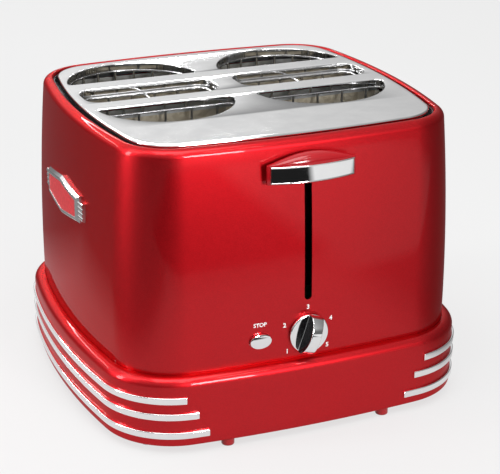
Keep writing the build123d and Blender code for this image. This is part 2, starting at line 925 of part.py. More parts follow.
def rod_foot():
    """Bracket on the rear bulkhead that the rear rod stands on."""
    inner = chamber_rear - sheet
    return block(-rod_foot_half_width, rod_foot_half_width, inner - rod_foot_reach, inner,
                 chute_level - rod_foot_sheet, chute_level)


def spring_bracket():
    """Bracket on the front bulkhead that steadies the front rod and holds the springs."""
    front = -front_rod_y - bracket_margin
    plate = block(-bracket_half_width, bracket_half_width, front, -chamber_front,
                  bracket_level, bracket_level + bracket_sheet)
    return plate - upright(rod_radius + rod_clearance, 0, -front_rod_y, bracket_level - overrun,
                           bracket_level + bracket_sheet + overrun)


def lift_spring(side):
    """Coil between the carriage's yoke and the bracket."""
    low, high = spine_foot + yoke_sheet + spring_wire_radius, bracket_level - spring_wire_radius
    path = Helix((high - low) / spring_turns, high - low, spring_radius, center=(0, 0, low))
    start = Plane(origin=path @ 0, z_dir=path % 0)
    coil = sweep(start.location * Circle(spring_wire_radius), path=path, is_frenet=True)
    return Pos(side * spring_x, -front_rod_y, 0) * coil


# Carriage

def rack(side, facing):
    """Slotted floor of one bun space, with a tab that lies on the spine."""
    face = bun_face(side, facing, rack_gap)
    flat = group_y + facing * (bun_flat_shift + rack_gap)
    for n in range(rack_slot_count):
        y = flat + facing * (rack_slot_margin + n * rack_slot_width * 2)
        drop = abs(y - group_y) - bun_arc_shift
        half = sqrt(max((bun_arc_radius - rack_gap) ** 2 - drop ** 2, 0)) - rack_slot_margin * 3 / 2
        if half > rack_slot_pitch / 2:
            face -= Pos(side * group_x, y, 0) * SlotOverall(2 * half, rack_slot_width)
    plate = raised(face, spine_top, rack_level)
    near = flat + facing * rack_tab_near
    tab_end = side * (group_x - bun_arc_radius + rack_gap + rack_slot_margin * 2)
    tab = block(side * rod_clearance, tab_end, near, near + facing * rack_tab_width, spine_top, rack_level)
    return plate + tab


def cage_rest():
    """Cross bar that carries both cages."""
    return block(-rest_half_length, rest_half_length, group_y - rest_width / 2, group_y + rest_width / 2,
                 spine_top, rack_level)


def carriage_spine():
    """Bar from front to back with a bush on each guide rod and a yoke for the springs."""
    half = spine_width / 2
    spine = block(-half, half, -column_rear, spine_rear, spine_foot, spine_top)
    for y in (-front_rod_y, rear_rod_y):
        spine += upright(boss_radius, 0, y, spine_foot, spine_foot + boss_height)
    spine += block(-yoke_half_length, yoke_half_length, -front_rod_y - yoke_width / 2,
                   -front_rod_y + yoke_width / 2, spine_foot, spine_foot + yoke_sheet)
    for y in (-front_rod_y, rear_rod_y):
        spine -= upright(rod_radius + rod_clearance, 0, y, spine_foot - overrun,
                         spine_foot + boss_height + overrun)
    return spine


def lever_arm():
    """Bent plate from the handle through the slot and down to the spine."""
    half = arm_thickness / 2
    arm = block(-half, half, -handle_back, -column_rear, arm_level, arm_top)
    return arm + block(-half, half, -column_rear - column_depth, -column_rear, spine_foot, arm_top)


def latch_armature():
    """Steel plate under the spine that the magnet holds."""
    low = spine_foot - armature_sheet
    return block(-spine_width / 2, magnet_x + armature_half_width, -magnet_y - armature_depth / 2,
                 -magnet_y + armature_depth / 2, low, spine_foot)


# Lever handle

def bow(y_front, half):
    """Plan of a piece with a flat back and a bowed front, the bow sharing the face's centre."""
    centre = -(plate_half_depth + face_front_reach) + face_bow_radius
    radius = centre - y_front
    end = centre - sqrt(radius ** 2 - half ** 2)
    return make_face([
        Line((-half, -handle_back), (-half, end)),
        ThreePointArc((-half, end), (0, y_front), (half, end)),
        Line((half, end), (half, -handle_back)),
        Line((half, -handle_back), (-half, -handle_back)),
    ])


def lever_handle():
    """Moulded handle: bowed front, and a hood whose top falls away to the front and the ends."""
    front = -(plate_half_depth + face_front_reach) + face_sheet
    foot, shoulder = handle_foot_level, handle_foot_level + handle_front_height
    head = shoulder + hood_rise
    plan = raised(bow(front, handle_half_width), foot, head)
    depth = -front - handle_back
    side = Plane(origin=(-handle_half_width, 0, 0), x_dir=(0, 1, 0), z_dir=(1, 0, 0)).location
    steep_share = 1 / sqrt(2)
    profile = side * make_face([
        Line((-handle_back, foot), (front, foot)),
        Line((front, foot), (front, shoulder)),
        ThreePointArc((front, shoulder),
                      (-handle_back - depth * steep_share, shoulder + hood_rise * steep_share),
                      (-handle_back, head)),
        Line((-handle_back, head), (-handle_back, foot)),
    ])
    swept = extrude(profile, amount=2 * handle_half_width, dir=(1, 0, 0))
    face = Plane(origin=(0, -handle_back, 0), x_dir=(1, 0, 0), z_dir=(0, -1, 0)).location
    w = handle_half_width
    arch = face * make_face([
        Line((-w, foot), (w, foot)),
        Line((w, foot), (w, shoulder)),
        EllipticalCenterArc((0, shoulder), w, hood_rise, arc_size=180),
        Line((-w, shoulder), (-w, foot)),
    ])
    arched = extrude(arch, amount=depth + overrun, dir=(0, -1, 0))
    return plan & swept & arched


def lever_face():
    """Bowed plate on the front of the handle."""
    front = -(plate_half_depth + face_front_reach)
    low, high = handle_foot_level + face_margin, handle_foot_level + handle_front_height - face_margin
    outer = raised(bow(front, face_half_width), low, high)
    return outer - raised(bow(front + face_sheet, handle_half_width), low - overrun, high + overrun)


# Cages

def hot_dog_cage(side):
    """Welded wire basket with two places, standing on the cage rest."""
    r, bar = cage_wire_radius, cage_bar_radius
    inset = cage_gap + r
    length, width = dog_slot_length - 2 * inset, dog_slot_width - 2 * inset
    wire = RectangleRounded(length, width, dog_slot_corner - inset).wire()
    low, high = rack_level + r, plate_top - cage_top_drop
    rise = (high - low) / cage_cross_levels
    bars = []
    for n in range(1, cage_cross_levels + 1):
        bars.append(wire_ring(wire, r, low + n * rise))
        bars.append(fore_and_aft(bar, 0, low + n * rise, -width / 2, width / 2))
    for n in range(cage_side_wires):
        x = (n - (cage_side_wires - 1) / 2) * cage_wire_pitch
        bars += [upright(bar, x, side_y, low, high) for side_y in (-width / 2, width / 2)]
    for n in range(cage_floor_wires):
        x = (n - (cage_floor_wires - 1) / 2) * cage_wire_pitch
        bars.append(fore_and_aft(bar, x, low, -width / 2, width / 2))
    bars += [upright(bar, end_x, 0, low, high) for end_x in (-length / 2, length / 2)]
    cage = wire_ring(wire, r, low).fuse(*bars)
    return Pos(side * group_x, group_y, 0) * cage


# Dial

def dial_front():
    """Distance from the middle to the back of the knob."""
    return plate_half_depth + wall_reach(dial_level) + knob_gap


def dial_plane(distance):
    """Plane at the dial that faces the front."""
    return Plane(origin=(0, -distance, dial_level), x_dir=(1, 0, 0), z_dir=(0, -1, 0))


def knob_grip():
    """Half disc that stands on the flange, its two sides drawing in towards the front."""
    face = dial_front() + knob_flange
    low, high = dial_level - knob_radius, dial_level + knob_radius
    middle = dial_level
    disc = Pos(0, -face, middle) * Rot(0, 90, 0) * Cylinder(knob_radius, grip_width)
    disc = fillet(disc.edges(), radius=grip_edge_round)
    wide, narrow = grip_width / 2, grip_head_width / 2
    head = -face - knob_radius
    wedge = closed([(-wide, -face + knob_flange / 2), (wide, -face + knob_flange / 2), (wide, -face),
                    (narrow, head), (-narrow, head), (-wide, -face)])
    return disc & raised(wedge, low - overrun, high + overrun)


def timer_knob():
    """Round flange with a raised grip, and a bore for the shaft."""
    back = dial_front()
    flange = extrude(dial_plane(back).location * Circle(knob_radius), amount=knob_flange)
    flange = fillet(flange.edges().sort_by(Axis.Y)[0], radius=knob_flange_round)
    knob = flange + knob_grip()
    knob -= fore_and_aft(shaft_radius, 0, dial_level, -back - shaft_seat, -back + overrun)
    return knob.rotate(Axis((0, 0, dial_level), (0, 1, 0)), dial_turn)


def dial_shaft():
    rear = board_front + shaft_end_gap
    return fore_and_aft(shaft_radius, 0, dial_level, -dial_front() - shaft_seat, -rear)


def dial_potentiometer():
    half = pot_width / 2
    front = board_front + pot_depth
    body = block(-half, half, -front, -board_front, dial_level - half, dial_level + half)
    body += fore_and_aft(pot_bush_radius, 0, dial_level, -front - pot_bush_length, -front)
    radius = shaft_radius + shaft_clearance
    return body - fore_and_aft(radius, 0, dial_level, -front - pot_bush_length - overrun,
                               -board_front - shaft_end_gap / 2)


def timer_board():
    """Circuit board with one chip."""
    board = block(-board_left, board_right, -board_front, -board_front + board_sheet, board_low, board_high)
    chip = block(-chip_x - chip_width / 2, -chip_x + chip_width / 2, -board_front - chip_depth, -board_front,
                 chip_level - chip_height / 2, chip_level + chip_height / 2)
    return board + chip


def board_bracket():
    """Bent sheet that holds the board up from the base cover."""
    back = -board_front + board_sheet
    wall = block(-board_left, board_right, back, back + sheet, cover_top, board_high)
    return wall + block(-board_left, board_right, back, back + bracket_foot_depth,
                        cover_top, cover_top + sheet)


# Stop button

def stop_button():
    """Domed oval button with a collar behind the wall and a stem to the switch."""
    wall = front_edge(stop_x, wall_reach(stop_level))
    front = wall + stop_stand
    inside = front_edge(stop_x, wall_reach(stop_level) - shell_wall) - stop_collar_gap
    collar_back = inside - stop_collar_sheet
    body = extrude(Pos(0, -collar_back, 0) * stop_oval(0), amount=front - collar_back, dir=(0, -1, 0))
    dome = Pos(-stop_x, -front + stop_dome_radius, stop_level) * Sphere(stop_dome_radius)
    body = body & dome
    collar_face = Pos(0, -collar_back, 0) * stop_oval(stop_collar)
    collar = extrude(collar_face, amount=stop_collar_sheet, dir=(0, -1, 0))
    switch_face = board_front + switch_depth
    stem = fore_and_aft(stop_stem_radius, -stop_x, stop_level, -collar_back, -switch_face + stop_stem_entry)
    return body + collar + stem


def stop_switch():
    half = switch_width / 2
    front = board_front + switch_depth
    body = block(-stop_x - half, -stop_x + half, -front, -board_front, stop_level - half, stop_level + half)
    radius = stop_stem_radius + stop_stem_clearance
    return body - fore_and_aft(radius, -stop_x, stop_level, -front - overrun, -front + switch_bore_depth)


# Latch magnet

def magnet_head():
    return spine_foot - armature_sheet - lever_travel - magnet_gap


def magnet_core():
    return block(magnet_x - magnet_core_width / 2, magnet_x + magnet_core_width / 2,
                 -magnet_y - magnet_core_depth / 2, -magnet_y + magnet_core_depth / 2,
                 cover_top, magnet_head())


def magnet_coil():
    low, high = cover_top + coil_low_gap, magnet_head() - coil_high_gap
    w, d = magnet_core_width / 2, magnet_core_depth / 2
    coil = block(magnet_x - w - coil_margin, magnet_x + w + coil_margin, -magnet_y - d - coil_margin,
                 -magnet_y + d + coil_margin, low, high)
    gap = coil_clearance
    return coil - block(magnet_x - w - gap, magnet_x + w + gap, -magnet_y - d - gap, -magnet_y + d + gap,
                        low - overrun, high + overrun)


# Drip tray

def tray_rear():
    """Distance from the middle to the inner face of the tray's panel, level with the tray's sides."""
    return front_edge(tray_half_width, skirt_foot_reach - skirt_wall) - skirt_wall / 2


def drip_tray():
    """Open pan under the chute."""
    low, high = cover_top + tray_gap, tray_head()
    w, rear = tray_half_width, tray_rear()
    pan = block(-w, w, -tray_front, rear, low, high)
    return pan - block(-w + tray_sheet, w - tray_sheet, -tray_front + tray_sheet, rear - tray_sheet,
                       low + tray_sheet, high + overrun)


def tray_pull():
    """Panel that closes the skirt's window, flush with its outer face, with a finger ledge."""
    low, high = cover_top + tray_gap, tray_head()
    half = tray_half_width + tray_window_gap - panel_gap
    rear = plate_half_depth + skirt_foot_reach
    section = make_face([
        Line((0, low), (skirt_reach(low), low)),
        Line((skirt_reach(low), low), (skirt_reach(high), high)),
        Line((skirt_reach(high), high), (0, high)),
        Line((0, high), (0, low)),
    ])
    panel = ring(section) & block(-half, half, tray_rear(), rear + overrun, low, high)
    ledge = block(-pull_width / 2, pull_width / 2, rear - skirt_wall, rear + pull_reach,
                  low, low + pull_height)
    return panel + ledge


# Cord gland and terminals

def skirt_form(low, high):
    """Filled band of the skirt's outer form."""
    section = make_face([
        Line((0, low), (skirt_reach(low), low)),
        Line((skirt_reach(low), low), (skirt_reach(high), high)),
        Line((skirt_reach(high), high), (0, high)),
        Line((0, high), (0, low)),
    ])
    return ring(section)


def cord_gland():
    """Sleeve through the skirt's rear wall with a flange and a tapered nose."""
    radius = gland_bore_radius + gland_wall
    seat = front_edge(gland_x, skirt_reach(gland_level))
    inner = seat - 2 * skirt_wall - gland_nut_height
    flange_end = seat + gland_flange_sheet
    sleeve = fore_and_aft(radius, -gland_x, gland_level, inner, seat)
    flange = fore_and_aft(gland_flange_radius, -gland_x, gland_level, seat - gland_flange_sheet, flange_end)
    margin = gland_flange_radius + overrun
    flange -= skirt_form(gland_level - margin, gland_level + margin)
    length = gland_nose_end - flange_end
    nose = Pos(-gland_x, flange_end + length / 2, gland_level) * Rot(-90, 0, 0) * Cone(
        radius, gland_bore_radius + gland_nose_wall, length)
    gland = sleeve + flange + nose
    return gland - fore_and_aft(gland_bore_radius, -gland_x, gland_level, inner - overrun,
                                gland_nose_end + overrun)


def gland_nut():
    """Nut that clamps the gland from inside."""
    inner = skirt_reach(gland_level) - skirt_wall
    seat = front_edge(gland_x + gland_nut_radius, inner) - gland_hole_clearance
    plane = Plane(origin=(-gland_x, seat, gland_level), x_dir=(1, 0, 0), z_dir=(0, -1, 0))
    nut = extrude(plane.location * RegularPolygon(gland_nut_radius, 6), amount=gland_nut_height)
    hole = gland_bore_radius + gland_wall + gland_hole_clearance
    return nut - fore_and_aft(hole, -gland_x, gland_level, seat - gland_nut_height - overrun, seat + overrun)


def terminal_block():
    """Block for the supply leads, with two screw posts."""
    w, d = terminal_width / 2, terminal_depth / 2
    top = cover_top + terminal_height
    body = block(-terminal_x - w, -terminal_x + w, terminal_y - d, terminal_y + d, cover_top, top)
    for share in (-1 / 2, 1 / 2):
        x = -terminal_x + share * w
        body += upright(terminal_post_radius, x, terminal_y, top, top + terminal_post_height)
    return body


# Write every node

def main():
    os.makedirs("parts", exist_ok=True)
    left_right = ((-1, "left"), (1, "right"))
    front_rear = ((-1, "front"), (1, "rear"))
    save("body_shell", body_shell())
    save("top_plate", top_plate())
    save("insulating_ring", insulating_ring())
    save("base_skirt", base_skirt())
    save("base_cover", base_cover())
    save("feet", *feet())
    save("screws", *base_screws(), *shell_screws())
    bezel, insert, shield = badge_bezel(), badge_insert(), side_shield()
    save("badge_bezel_left", bezel)
    save("badge_insert_left", insert)
    save("badge_bezel_right", mirror(bezel, about=Plane.YZ))
    save("badge_insert_right", mirror(insert, about=Plane.YZ))
    save("side_shield_right", shield)
    save("side_shield_left", mirror(shield, about=Plane.YZ))
    save("front_bulkhead", front_bulkhead())
    save("rear_bulkhead", rear_bulkhead())
    save("crumb_chute", crumb_chute())
    save("heater_rails", heater_rail(-1), heater_rail(1))
    save("guide_rods", *guide_rods())
    save("rod_foot", rod_foot())
    save("spring_bracket", spring_bracket())
    save("carriage_spine", carriage_spine())
    save("cage_rest", cage_rest())
    save("lever_arm", lever_arm())
    save("latch_armature", latch_armature())
    save("lever_handle", lever_handle())
    save("lever_face", lever_face())
    save("timer_knob", timer_knob())
    save("dial_shaft", dial_shaft())
    save("dial_potentiometer", dial_potentiometer())
    save("timer_board", timer_board())
    save("board_bracket", board_bracket())
    save("stop_button", stop_button())
    save("stop_switch", stop_switch())
    save("magnet_core", magnet_core())
    save("magnet_coil", magnet_coil())
    save("drip_tray", drip_tray())
    save("tray_pull", tray_pull())
    save("cord_gland", cord_gland())
    save("gland_nut", gland_nut())
    save("terminal_block", terminal_block())
    save("heater_ribbons", *[ribbon(s, f, face) for s in (-1, 1) for f in (-1, 1) for face in (-1, 1)])
    for side, side_name in left_right:
        save(f"lift_spring_{side_name}", lift_spring(side))
        save(f"hot_dog_cage_{side_name}", hot_dog_cage(side))
        save(f"trim_strips_{side_name}", *[trim_strip(n, side) for n in range(len(strip_levels))])
        for facing, facing_name in front_rear:
            place = f"{facing_name}_{side_name}"
            save(f"bun_guard_{place}", bun_guard(side, facing))
            save(f"bun_rack_{place}", rack(side, facing))
            save(f"heater_card_{place}", heater_card(side, facing))


main()
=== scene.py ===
import bmesh
import bpy
import json
from math import acos, asin, atan2, cos, degrees, hypot, pi, radians, sin, sqrt
from mathutils import Matrix, Vector


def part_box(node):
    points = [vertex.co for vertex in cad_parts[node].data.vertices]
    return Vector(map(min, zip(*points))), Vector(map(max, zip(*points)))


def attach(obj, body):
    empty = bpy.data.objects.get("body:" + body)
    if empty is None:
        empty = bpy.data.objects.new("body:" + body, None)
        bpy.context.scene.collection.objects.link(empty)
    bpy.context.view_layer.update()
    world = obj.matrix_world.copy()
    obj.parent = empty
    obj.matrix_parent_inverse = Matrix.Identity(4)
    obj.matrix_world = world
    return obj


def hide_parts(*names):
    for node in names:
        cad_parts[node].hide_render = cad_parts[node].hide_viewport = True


# Looks of a hot dog toaster, in metres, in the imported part's own frame.
# A reach is a distance outward from the edge of the top plate, level with the bench.

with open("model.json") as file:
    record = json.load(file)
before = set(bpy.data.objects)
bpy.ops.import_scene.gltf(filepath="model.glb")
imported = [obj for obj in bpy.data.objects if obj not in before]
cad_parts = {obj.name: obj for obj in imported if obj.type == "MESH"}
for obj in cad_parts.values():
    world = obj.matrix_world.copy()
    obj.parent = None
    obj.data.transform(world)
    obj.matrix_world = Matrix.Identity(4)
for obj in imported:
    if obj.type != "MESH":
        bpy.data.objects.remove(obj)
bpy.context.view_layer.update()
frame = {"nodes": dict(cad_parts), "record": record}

# Plan of the top plate
plate_half_width = 0.1188
plate_half_depth = 0.1140
front_arc_radius = 0.930
side_arc_radius = 0.511
corner_radius = 0.0304
plan_step = 0.0035
corner_steps = 40
merge_distance = 0.000002

# Levels
foot_height = 0.0053
skirt_top = 0.0561
plate_top = 0.2153
plate_hem_depth = 0.0083
ring_top = plate_top - plate_hem_depth
cover_top = 0.0083

# Body shell
shell_wall = 0.0012
crown_level = 0.0853
crown_reach = 0.0165
rim_top = 0.2145
rim_draw = 0.0053
rim_gap = 0.0036
rim_round = 0.0060
rim_level = rim_top - rim_round
rim_reach = crown_reach - rim_draw - rim_round
crown_radius = rim_round + ((rim_level - crown_level) ** 2 + rim_draw ** 2) / (2 * rim_draw)
shell_foot = 0.0478
shell_flange_width = 0.0060
wall_steps = 26
slot_width = 0.0055
slot_foot = 0.0991
slot_head = 0.20235
shaft_hole_radius = 0.0036

# Top plate
plate_sheet = 0.0010
plate_hem_round = 0.0013
plate_hem_land = 0.0030
collar_depth = 0.0050
opening_edge_round = 0.0007
group_x = 0.0602
group_y = 0.0220
bun_arc_radius = 0.0515
bun_arc_shift = 0.0299
bun_flat_shift = 0.0352
bun_corner_radius = 0.0040
dog_slot_half_length = 0.0511
dog_slot_half_width = 0.0172
dog_slot_corner = 0.0115

# Base skirt
skirt_wall = 0.0022
skirt_foot_reach = 0.0238
skirt_head_reach = 0.0244
skirt_shoulder = 0.0064
skirt_edge_round = 0.0012
skirt_gap = 0.00025
ledge_sheet = 0.0020
ledge_reach = 0.0076
flange_sheet = 0.0020
flange_reach = 0.0140

# Trim strips, from the top one to the bottom one
strip_levels = [0.0406, 0.0284, 0.0141]
strip_ends = [0.0912, 0.0830, 0.0752]
strip_height = 0.0050
strip_depth = 0.0017
strip_round = 0.0006
strip_ease = 0.0008

# Feet
foot_radius = 0.0046
foot_round = 0.0010
foot_x = 0.060
foot_reach = 0.0186

# Badges
badge_level = 0.1513
badge_half_length = 0.0345
badge_half_height = 0.0126
badge_end_half_height = 0.0081
badge_stand = 0.0034
badge_bevel = 0.0020
badge_rim = 0.0022
badge_pocket = 0.0016
badge_insert_sheet = 0.0011
badge_insert_ease = 0.0003
badge_soft = 0.0002
badge_slope = atan2(badge_half_height - badge_end_half_height, badge_half_length)
wing_length = 0.0080
wing_half_height = 0.0066
wing_stand = 0.0026
wing_steps = 8
flute_count = 4
flute_depth = 0.0013
flute_sweep = 80

# Lever
handle_back = 0.1312
handle_half_width = 0.0325
handle_foot = 0.1874
handle_front_height = 0.0133
handle_ease = 0.0005
hood_rise = 0.0065
hood_least_rise = 0.00002
hood_fullness = 2.2
hood_end_ease = 1.3
face_bow_radius = 0.0955
face_front = 0.1400
face_sheet = 0.0014
face_half_width = 0.0306
face_margin = 0.0007
face_ease = 0.00025

# Lip of the lever's face: depth behind its front and distance from its edge
face_lip_line = [(0.0004, 0.0), (0.0001, 0.0003), (0.0, 0.0004), (0.0002, 0.0008), (0.0004, 0.00104)]

# Dial, button and their printing
dial_level = 0.0744
dial_turn = 18.0
knob_gap = 0.0005
knob_radius = 0.0145
grip_rise = 0.0110
knob_flange = 0.0028
knob_flange_round = 0.0009
knob_flange_land = 1.6 * knob_flange_round
knob_steps = 64
grip_sunk = 0.0001
grip_half_width = 0.0047
grip_head_half_width = 0.0038
grip_round = 0.0006
grip_round_share = 0.9
dark_face_margin = 0.0007
dark_face_corner = 1.2 * dark_face_margin
dark_face_drop = 2.4 * dark_face_margin
dark_face_stand = 0.00006
digit_radius = 0.0194
digit_angles = [-128.0, -65.0, 0.0, 65.0, 128.0]
digit_height = 0.0034
word_x = -0.0357
word_level = 0.0856
word_height = 0.0030
print_stand = 0.00008
print_weight = 0.026
stop_x = -0.0356
stop_level = 0.0737
stop_half_length = 0.0079
stop_half_height = 0.0053
stop_dome_radius = 0.0450
stop_stand = 0.0027
stop_collar = 0.0014
stop_collar_depth = 0.0020
stop_stem_radius = 0.0020
stop_hole_gap = 0.00025

# Softened rim of the button's dome: distance inward and drop
stop_rim_line = [(0.0001, 0.00003), (0.0, 0.0002)]

# Wires
wire_sides = 4
guard_wire_radius = 0.0010
guard_foot_level = 0.0320
guard_arc_wires = 9
guard_arc_sweep = 130.0
guard_flat_wires = 5
guard_flat_pitch = 0.020
cage_gap = 0.0016
cage_wire_radius = 0.0012
cage_bar_radius = 0.0010
cage_top_drop = 0.0062
cage_levels = 3
cage_side_wires = 4
cage_floor_wires = 5
cage_wire_pitch = 0.018
rack_level = 0.1160

# Drip tray
tray_low = 0.0086
tray_high = 0.0214
tray_panel_half_width = 0.0700
tray_window_half_width = 0.0706
tray_window_high = 0.0222
tray_panel_front = 0.1314
pull_half_width = 0.0230
pull_height = 0.0030
pull_reach = 0.0036
pull_ease = 0.0003
pull_steps = 40
pull_end_power = 6

# Cord gland
gland_x = -0.060
gland_level = 0.038
gland_bore_radius = 0.0036
gland_sleeve_radius = 0.0052
gland_flange_radius = 0.0080
gland_flange_sheet = 0.0020
gland_flange_sunk = 0.0010
gland_flange_round = 0.0006
gland_nose_end = 0.1466
gland_nose_radius = 0.0046
gland_nose_round = 0.0003
gland_ribs = 4

# One rib of the gland's nose: share of its length and depth below the nose's cone
gland_rib_line = [(0.0, 0.0), (0.55, 0.0), (0.60, 0.0006), (0.95, 0.0006)]

# Camera, fitted to the edges in the photograph
camera_azimuth = 22.2
camera_elevation = 20.4
camera_distance = 1.1765
camera_target = (-0.0011, 0.0, 0.1144)
camera_lens = 111.6
camera_sensor = 36.0
camera_shift = (0.0295, -0.0382)

# Floor and room, as brightness: a near floor round the toaster, a dark card in front and a pale one beside it
floor_half_size = 6.0
floor_shade = 0.15
floor_seen = 0.84
floor_gain = 1.10
floor_mirror_glow = 0.54
near_half_width = 0.19
near_half_depth = 0.30
near_left = 0.04
near_front = 0.10
near_fade = 1.45
card_near = 0.48
pale_near = 0.38
card_far = 1.40
card_edge = 0.20
card_end = 0.70
card_fade = 0.03
pale_fade = 0.04
card_far_fade = 0.2
card_depth = 0.95
pale_card_glow = 0.60
room_front = 0.14
room_high = 0.55
room_back = 0.95

# Changes of the room along an axis of the direction: where they start and end, and the share at both
back_from_side = (-0.1, 0.5, 0.0, 1.0)
back_from_floor = (0.10, 0.27, 0.08, 1.0)
back_to_right = (0.25, 0.60, 1.0, 0.02)
high_from_floor = (0.12, 0.32, 0.0, 1.0)
high_to_right = (0.45, 0.80, 1.0, 0.2)

# Lamps: azimuth to the left of the front, elevation, distance, width, height, power; all aim at one level
lamp_aim = 0.11
lamps = [
    ("key_panel", -9.0, 14.0, 2.2, 0.40, 0.6, 29.0),
    ("rim_window", -20.0, 48.0, 2.0, 0.26, 0.16, 1.3),
    ("hood_window", 4.0, 50.0, 2.0, 0.50, 0.14, 2.0),
    ("left_panel", 98.0, 12.0, 1.8, 0.30, 1.0, 14.0),
    ("left_fill", 95.0, 42.0, 1.8, 0.8, 0.6, 4.0),
    ("left_strip", 95.0, 60.0, 2.0, 2.4, 0.05, 3.5),
    ("rear_strip", 168.0, 28.5, 2.0, 2.6, 0.05, 9.0),
    ("top_panel", 20.0, 75.0, 2.0, 1.4, 1.2, 24.0),
]


# Plan of the body

def plan_arcs():
    """Eight arcs of the plate's edge: centre x, centre y, radius, start angle, swept angle, steps."""
    rear_y = plate_half_depth - front_arc_radius
    side_x = plate_half_width - side_arc_radius
    far = front_arc_radius - corner_radius
    near = side_arc_radius - corner_radius
    apart = hypot(side_x, rear_y)
    along = (far ** 2 - near ** 2 + apart ** 2) / (2 * apart)
    off = sqrt(far ** 2 - along ** 2)
    ex, ey = side_x / apart, -rear_y / apart
    px, py = along * ex + off * ey, rear_y + along * ey - off * ex
    if px + py < 0:
        px, py = along * ex - off * ey, rear_y + along * ey + off * ex
    steep = degrees(atan2(py - rear_y, px))
    shallow = degrees(atan2(py, px - side_x))
    corner = steep - shallow
    side_steps = int(radians(2 * shallow) * side_arc_radius / plan_step)
    front_steps = int(radians(180 - 2 * steep) * front_arc_radius / plan_step)
    half = [
        (side_x, 0.0, side_arc_radius, -shallow, 2 * shallow, side_steps),
        (px, py, corner_radius, shallow, corner, corner_steps),
        (0.0, rear_y, front_arc_radius, steep, 180 - 2 * steep, front_steps),
        (-px, py, corner_radius, 180 - steep, corner, corner_steps),
    ]
    return half + [(-x, -y, radius, start + 180, swept, steps) for x, y, radius, start, swept, steps in half]


def plan_line():
    """Places round the plate's edge, each with its outward direction."""
    line = []
    for x, y, radius, start, sweep, steps in plan_arcs():
        for n in range(steps):
            a = radians(start + sweep * n / steps)
            line.append((x + radius * cos(a), y + radius * sin(a), cos(a), sin(a)))
    return line


def wall_reach(level):
    return crown_reach - crown_radius + sqrt(crown_radius ** 2 - (level - crown_level) ** 2)


def skirt_reach(level):
    low, high = foot_height + skirt_edge_round, skirt_top - skirt_shoulder
    share = (level - low) / (high - low)
    return skirt_foot_reach + share * (skirt_head_reach - skirt_foot_reach)


def front_edge(x, reach):
    """Distance from the middle to the front or rear edge of the outline moved outward by reach."""
    return plate_half_depth - front_arc_radius + sqrt((front_arc_radius + reach) ** 2 - x ** 2)


def side_edge(y, reach):
    """Distance from the middle to the left or right edge of the outline moved outward by reach."""
    return plate_half_width - side_arc_radius + sqrt((side_arc_radius + reach) ** 2 - y ** 2)


# Mesh helpers

def arc(cx, cy, radius, start, end, steps):
    """Points on an arc, both ends included, angles in degrees."""
    angles = [radians(start + (end - start) * n / steps) for n in range(steps + 1)]
    return [(cx + radius * cos(a), cy + radius * sin(a)) for a in angles]


def spaced(steps):
    """Even shares from -1 to 1, both included."""
    return [2 * n / steps - 1 for n in range(steps + 1)]


def row(count, pitch):
    """Evenly pitched places on both sides of zero."""
    return [(n - (count - 1) / 2) * pitch for n in range(count)]


def placed(name, data):
    """Object in the scene for some data."""
    holder = bpy.data.objects.new(name, data)
    bpy.context.scene.collection.objects.link(holder)
    return holder


def mesh_taken(holder):
    """The object's mesh as it shows, modifiers made real; the object goes."""
    graph = bpy.context.evaluated_depsgraph_get()
    mesh = bpy.data.meshes.new_from_object(holder.evaluated_get(graph))
    bpy.data.objects.remove(holder)
    return mesh


def shown(name, mesh, sharp=30.0):
    """Puts a mesh in the scene, merged, facing outward, smooth but for edges over the sharp angle."""
    shape = bmesh.new()
    shape.from_mesh(mesh)
    bmesh.ops.remove_doubles(shape, verts=shape.verts, dist=merge_distance)
    bmesh.ops.recalc_face_normals(shape, faces=shape.faces)
    shape.to_mesh(mesh)
    shape.free()
    for face in mesh.polygons:
        face.use_smooth = True
    mesh.set_sharp_from_angle(angle=radians(sharp))
    return placed(name, mesh)


def built(name, points, faces, sharp=30.0):
    mesh = bpy.data.meshes.new(name)
    mesh.from_pydata(points, [], faces)
    return shown(name, mesh, sharp)


def loft(rings, around=True, along=False, caps=False):
    """Points and faces of a skin over rings of equal length."""
    count, width = len(rings), len(rings[0])
    points = [p for ring in rings for p in ring]
    faces = []
    for i in range(count if along else count - 1):
        for j in range(width if around else width - 1):
            a, b = i * width + j, i * width + (j + 1) % width
            c, d = ((i + 1) % count) * width + (j + 1) % width, ((i + 1) % count) * width + j
            faces.append((a, b, c, d))
    if caps:
        faces.append(tuple(range(width)))
        faces.append(tuple(range((count - 1) * width, count * width)))
    return points, faces


def together(*skins):
    """One list of points and faces from several."""
    points, faces = [], []
    for more_points, more_faces in skins:
        start = len(points)
        points += more_points
        faces += [tuple(i + start for i in face) for face in more_faces]
    return points, faces


def plan_skin(section, closed=True):
    """Skin of a section carried round the plan; its x is the reach and its y the level."""
    rings = [[(x + nx * r, y + ny * r, z) for r, z in section] for x, y, nx, ny in plan_line()]
    return loft(rings, closed, True)


def turned(profile, steps, place, stretch=1.0, closed=False):
    """Lathe skin about the local Z axis of a profile of radius and height, put in place by a matrix."""
    rings = []
    for n in range(steps):
        a = 2 * pi * n / steps
        rings.append([place @ Vector((r * cos(a), r * sin(a) * stretch, h)) for r, h in profile])
    return loft(rings, closed, True)


def facing_front(x, distance, level):
    """Matrix whose local Z points to the front, local X to the right and local Y up."""
    return Matrix(((1, 0, 0, x), (0, 0, -1, -distance), (0, 1, 0, level), (0, 0, 0, 1)))


def cut(piece, cutters):
    """Takes the cutters' space out of the piece."""
    for cutter in cutters:
        change = piece.modifiers.new("cut", "BOOLEAN")
        change.operation = "DIFFERENCE"
        change.solver = "EXACT"
        change.object = cutter
    result = shown(piece.name, mesh_taken(piece))
    for cutter in cutters:
        bpy.data.objects.remove(cutter)
    return result


